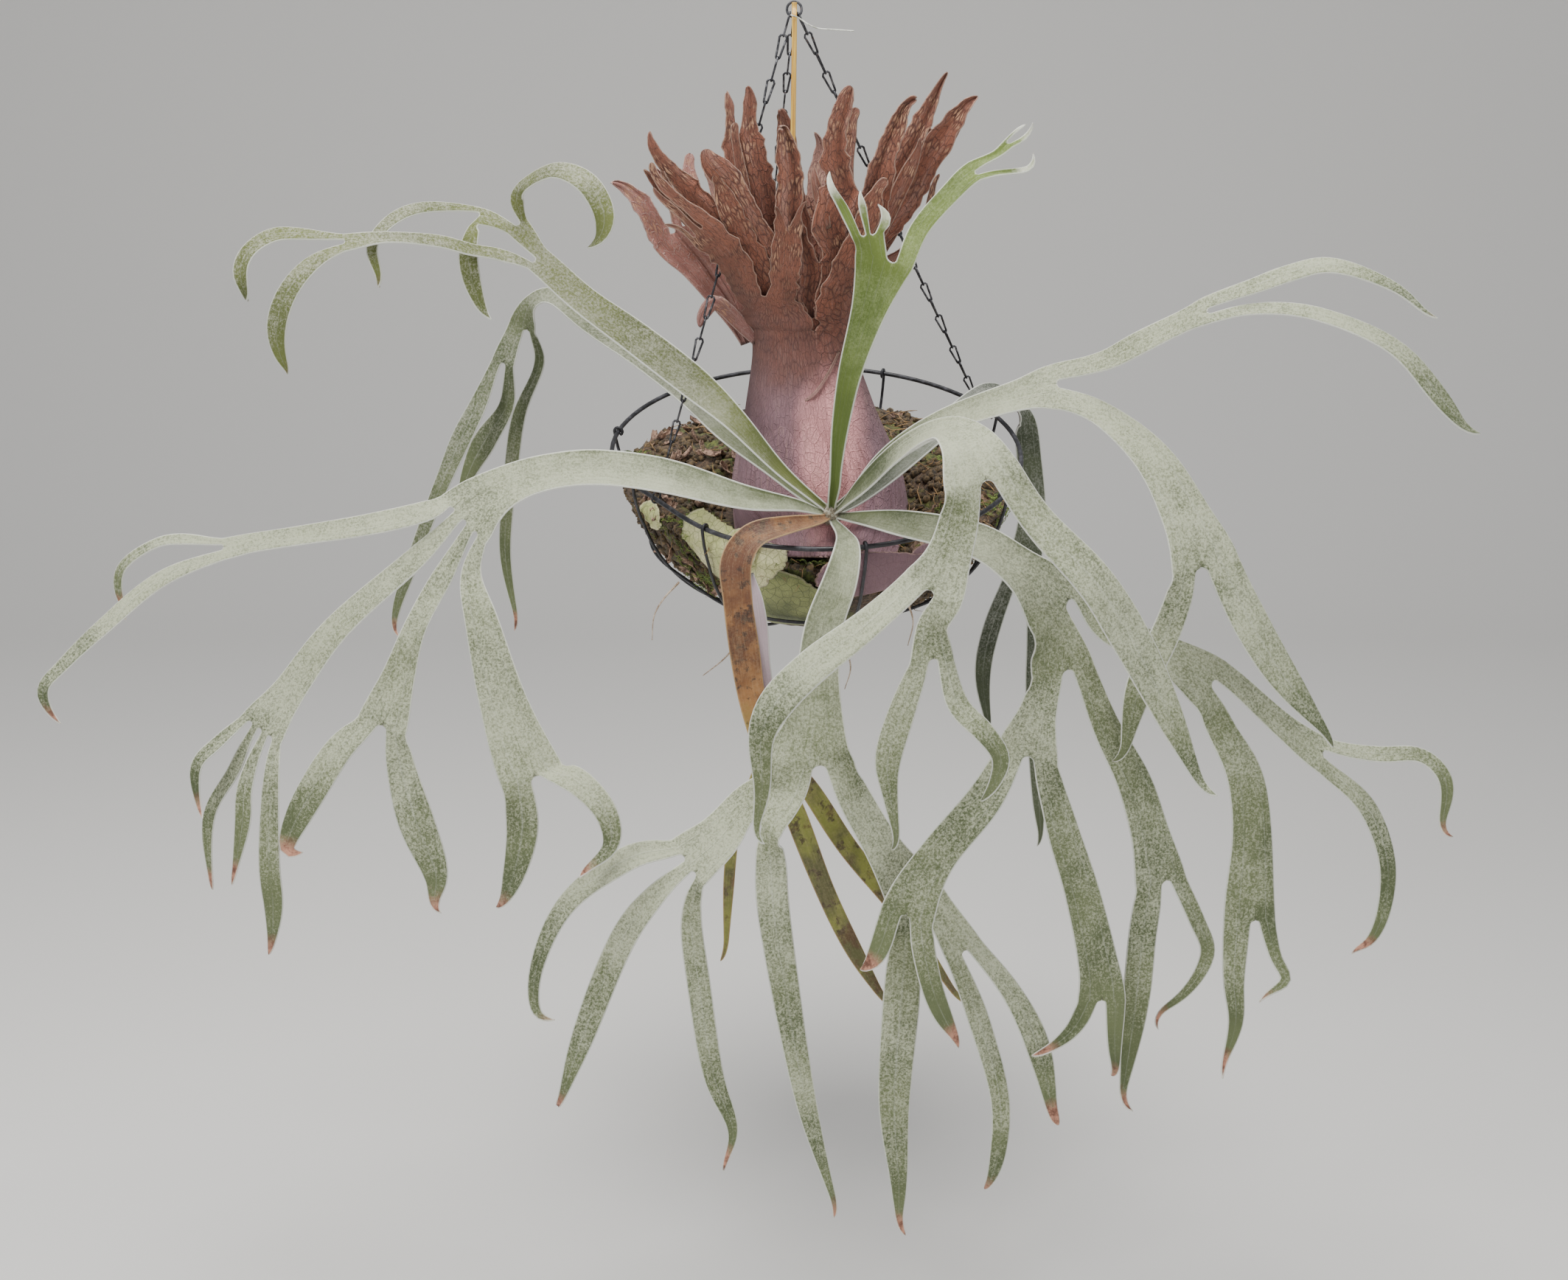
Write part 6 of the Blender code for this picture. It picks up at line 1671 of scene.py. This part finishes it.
# What lies on the ball. The look is a name, two colours and the size of their grain, the density is in pieces
# to a square metre, and inner is how far in over the top it goes.
litter = {
    "peat_crumbs": {
        "look": ("peatCrumbs", rgb(112, 92, 62), rgb(36, 28, 20), 240.0),
        "shape": crumbShape, "share": crumbShare, "inner": 0.3,
        "inputs": {"Density": 26000.0, "Seed": 3, "Smallest": 0.5, "Largest": 1.3, "Lean": 1.2},
    },
    "bark_chips": {
        "look": ("barkChips", rgb(190, 156, 134), rgb(72, 50, 40), 160.0),
        "shape": chipShape, "share": chipShare, "inner": 0.3,
        "inputs": {"Density": 7000.0, "Seed": 7, "Smallest": 0.55, "Largest": 1.15, "Lean": 1.0},
    },
    "dry_sphagnum": {
        "look": ("drySphagnum", rgb(186, 150, 100), rgb(104, 74, 46), 200.0),
        "shape": strawShape, "share": strawShare, "inner": 0.3,
        "inputs": {"Density": 9000.0, "Seed": 13, "Smallest": 0.6, "Largest": 1.1, "Lean": 0.7},
    },
    "spikemoss_sprigs": {
        "look": ("spikemoss", rgb(138, 156, 72), rgb(58, 76, 30), 180.0),
        "shape": sprigShape, "share": greenShare, "inner": 0.0,
        "inputs": {"Density": 16000.0, "Seed": 21, "Smallest": 0.5, "Largest": 1.0, "Lean": 0.5},
    },
}


def scatter(name, host, shape, material, slot, node, **inputs):
    piece = runTree(name, host, strewOnSurface, material, Shape=shape, **inputs)
    bpy.data.objects.remove(shape, do_unlink=True)
    settle(piece, slot, node)


def strew(name, rows, faces, kind):
    spots = [spot for row in rows for spot in row]
    weights = []
    for spot in spots:
        bare = covered(*spot) or spot[1] < kind["inner"]
        weights.append(0.0 if bare else min(1.0, max(0.0, kind["share"](*spot))))
    host = makeHost(name + "Host", [point for _, _, point in spots], [], faces, {"share": weights})
    material = makeScrapMaterial(*kind["look"])
    scatter(name, host, kind["shape"](material), material, "moss", "root_ball", **kind["inputs"])


def makeRootBall():
    rows = ballRows()
    sides = rootBall["sides"]
    flat = [p for row in rows for _, _, p in row]
    normals = [Vector() for _ in flat]
    sheet = gridFaces(len(rows), sides)
    for face in sheet:
        normal = (flat[face[2]] - flat[face[0]]).cross(flat[face[3]] - flat[face[1]])
        for v in face:
            normals[v] += normal
    lumps = [lumpAt(p) * (0.2 if covered(a, s, p) else 1.0) for row in rows for a, s, p in row]
    verts = [p + n.normalized() * lump for p, n, lump in zip(flat, normals, lumps)]
    bottom, top = len(verts), len(verts) + 1
    verts.append(basketPoint(0, 0, -(basket["depth"] - basket["inset"]) * 0.985))
    verts.append(basketPoint(0, 0, mossTop(0, 0.0)))
    last = (len(rows) - 1) * sides
    ends = []
    for j in range(sides):
        k = (j + 1) % sides
        ends += [(bottom, k, j), (top, last + j, last + k)]
    settle(makePiece("root_ball_moss", verts, sheet + ends, makeMossMaterial()), "moss", "root_ball")
    for name, kind in litter.items():
        strew(name, rows, sheet, kind)
    print("root ball made")


strayRoots = (
    ((-9.4, -2.2, -44.8), (-10.6, -3.0, -46.0), (-11.4, -3.4, -47.4), (-11.6, -3.4, -49.4)),
    ((-4.0, -3.8, -48.8), (-5.6, -4.6, -50.6), (-7.4, -5.0, -52.0)),
    ((9.0, -4.4, -45.6), (9.6, -5.2, -47.4), (9.2, -5.4, -49.4)),
    ((4.5, 3.0, -51.4), (4.9, 2.6, -53.2), (4.4, 2.4, -55.0)),
    ((-9.0, 14.0, -42.5), (-10.4, 15.4, -44.4), (-10.8, 16.0, -47.0)),
    ((8.0, 22.0, -37.5), (8.8, 23.2, -39.8), (8.2, 23.8, -42.4)),
)


def makeRoots():
    material = makeScrapMaterial("paleRoots", rgb(206, 190, 170), rgb(140, 116, 94), 120.0)
    paths = [(smoothPath(route, 8), False, 0.35) for route in strayRoots]
    settle(makeWires("stray_roots", paths, 0.1, 7, material), "moss", "root_ball")


# young shields pressed over the ball


def shoulderPoint(angle, height, lift, arch):
    # down the side of the ball, or past its shoulder, up by the arch and in over the top
    edge = mossTop(angle, 1.0) - 0.2
    if height <= edge:
        return ballPoint(angle, height, lift)
    past = height - edge
    rise = arch * (1 - math.exp(-past / arch)) if arch else 0.0
    share = max(0.3, 1 - (past - rise) / rimRadius(angle))
    turned = smoothStep(past / (1.6 + arch))
    reach = (rimRadius(angle) - basket["inset"]) * share + lift * (1 - turned)
    level = mossTop(angle, share) + rise + (lift + 0.25) * turned
    return basketPoint(angle, reach, level + (edge - mossTop(angle, 1.0)) * (1 - turned))


youngShields = {
    # angle, height on the side, half width, half height, lift, turn of the outline, arch over the shoulder
    "shield_apron": (285, -2.9, 5.2, 2.2, 0.38, 272, 9.0),
    "shield_young_left": (244, -1.4, 5.7, 3.7, 0.18, 232, 1.8),
    "shield_lobe": (249, -0.9, 1.6, 1.5, 0.55, 200, 1.8),
    "shield_young_front": (258, -6.6, 5.4, 3.9, 0.13, 254, 0.0),
    "shield_young_right": (303, -3.0, 3.0, 1.8, 0.13, 303, 0.8),
    "shield_tan": (208, -2.6, 1.7, 1.3, 0.13, 208, 0.8),
}
youngCut = {"sides": 96, "rings": 18, "half": 0.045, "clear": 0.16}


def pressedShield(name, shape, material):
    angle, height, wide, tall, lift, turnOf, arch = shape
    draw = random.Random(name)
    shift = Vector((draw.uniform(0, 30), draw.uniform(0, 30), 0))
    sides, rings = youngCut["sides"], youngCut["rings"]
    verts, flow, rims = [], [], []

    def noiseRound(turn, radius, level=0.0):
        return noise.noise(Vector((radius * math.cos(turn), radius * math.sin(turn), level)) + shift)

    for side in (1, -1):
        for ring in (i / rings for i in range(rings + 1)):
            for turn in turnsOf(sides):
                wave = 1 + 0.08 * math.sin(3 * turn + turnOf)
                ragged = 1 + ring ** 3 * (0.05 * noiseRound(turn, 5) + 0.03 * noiseRound(turn, 16))
                reach = ring * wave * ragged
                acrossDeg = math.degrees(wide * reach * math.cos(turn) / basket["radius"])
                up = tall * reach * math.sin(turn)
                edge = 0.3 * ring ** 2 * max(0.0, noiseRound(turn, 2.2, ring))
                thin = side * youngCut["half"] * math.sqrt(max(0.0, 1 - ring ** 6))
                raised = lift + youngCut["clear"] + edge + thin
                verts.append(shoulderPoint(angle + acrossDeg, height + up, raised, arch))
                flow.append((wide * reach * math.cos(turn), up))
                rims.append((1 - ring) * min(wide, tall))
    faces = gridFaces(rings + 1, sides, flipped=True)
    under = gridFaces(rings + 1, sides, flipped=True, first=(rings + 1) * sides)
    faces += [tuple(reversed(face)) for face in under]
    values = {"rim": rims, "under": [0.0] * len(verts)}
    piece = facesOutward(makePiece(name + "_skin", verts, faces, material, flow, values), mergeWithin=1e-5)
    settle(piece, "shield_pale", *[node for node in (name,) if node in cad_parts])


def makeYoungShields():
    pale = makeYoungShieldMaterial("youngShield", rgb(222, 218, 170), rgb(184, 188, 120), rgb(112, 122, 62))
    # a darker copy of the young shield look for the front one: painted shade
    olive = makeYoungShieldMaterial("shadedYoungShield", rgb(146, 152, 92), rgb(92, 100, 52), rgb(66, 74, 36))
    pinkish = makeShieldMaterial("apronShield", 0.4, 2.2, 1.6)
    looks = {"shield_apron": pinkish, "shield_young_right": pinkish, "shield_young_front": olive}
    for name, shape in youngShields.items():
        pressedShield(name, shape, looks.get(name, pale))
    print("young shields made:", len(youngShields))


# the bud that the fronds grow from


def makeBud():
    draw = random.Random(2)

    def lumped(point):
        lump = 1 + 0.16 * noise.noise(point * 2.4) + 0.06 * noise.noise(point * 6)
        return bud["centre"] + point * (bud["heart"] * lump)

    verts, faces = lumpyBall(4, 1.0, lumped)
    scale = makeScrapMaterial("budScales", rgb(202, 196, 178), rgb(120, 104, 78), 260.0)
    settle(makePiece("bud_heart", verts, faces, scale), "leaf", "bud")
    host = makeHost("hairHost", verts, [], faces, {"share": [1.0] * len(verts)})
    hairVerts = [Vector((0.02 * math.cos(a), 0.02 * math.sin(a), 0)) for a in (0, 2.1, 4.2)]
    hairVerts.append(Vector((0.03, 0.01, 0.26)))
    hair = makePiece("hairShape", hairVerts, [(0, 2, 1), (0, 1, 3), (1, 2, 3), (2, 0, 3)], scale)
    scatter("bud_hairs", host, hair, scale, "leaf", "bud", Density=1500000.0, Seed=draw.randint(1, 99),
            Smallest=0.5, Largest=1.1, Lean=0.7)
    print("bud made")


makeRootBall()
makeRoots()
makeYoungShields()
makeBud()


# floor, light and camera

stage = {
    "floorDrop": 0.10,  # below the lowest tip
    "floorSize": 9.0,
    "floorColour": rgb(236, 234, 230),
    "backdrop": 2.6,
    "bend": 1.2,  # radius where the floor turns up
}
view = {
    "place": (-0.008, -1.447, -0.178),
    "pitch": -12.6,
    "lens": 40.62,
}


def makeStage():
    material, tree, _ = startMaterial("paleFloor", 0.9)
    tree.nodes["Principled BSDF"].inputs["Base Color"].default_value = stage["floorColour"]
    half = stage["floorSize"] / 2
    level = cadBox[0][2] - stage["floorDrop"]
    back, bend = stage["backdrop"], stage["bend"]
    turns = [math.radians(90 * k / 12) for k in range(13)]
    profile = [(-half, 0.0)] + [(back + bend * math.sin(a), bend * (1 - math.cos(a))) for a in turns]
    profile.append((back + bend, half))
    verts = [Vector((x, y, level + z)) / cm for y, z in profile for x in (-half, half)]
    faces = [(2 * k, 2 * k + 1, 2 * k + 3, 2 * k + 2) for k in range(len(profile) - 1)]
    makePiece("paleFloor", verts, faces, material)


def addLight(name, spot, target, size, power, colour):
    data = bpy.data.lights.new(name, "AREA")
    data.shape = "DISK"
    data.size = size
    data.energy = power
    data.color = colour
    lamp = addObject(name, data)
    lamp.location = spot
    lamp.rotation_euler = (Vector(target) - Vector(spot)).to_track_quat("-Z", "Y").to_euler()


def makeLight():
    world = bpy.data.worlds.new("paleRoom")
    world.use_nodes = True
    sky = world.node_tree.nodes["Background"]
    sky.inputs["Color"].default_value = rgb(236, 238, 242)
    sky.inputs["Strength"].default_value = 0.5
    bpy.context.scene.world = world
    addLight("overhead", (-0.1, -0.35, 1.5), (0, 0, -0.45), 1.1, 50, (1.0, 0.99, 0.97))
    addLight("frontFill", (0.9, -2.3, 0.2), (0, 0, -0.45), 1.4, 17, (1.0, 1.0, 1.0))
    addLight("leftKey", (-1.5, -1.5, 0.75), (0, 0, -0.4), 0.8, 22, (1.0, 0.99, 0.97))


def makeCamera():
    data = bpy.data.cameras.new("camera")
    data.sensor_width = 36
    data.lens = view["lens"]
    data.clip_start = 0.05
    camera = addObject("camera", data)
    camera.location = view["place"]
    camera.rotation_euler = Euler((math.radians(90 + view["pitch"]), 0, 0))
    bpy.context.scene.camera = camera


makeStage()
makeLight()
makeCamera()
print("stage set")
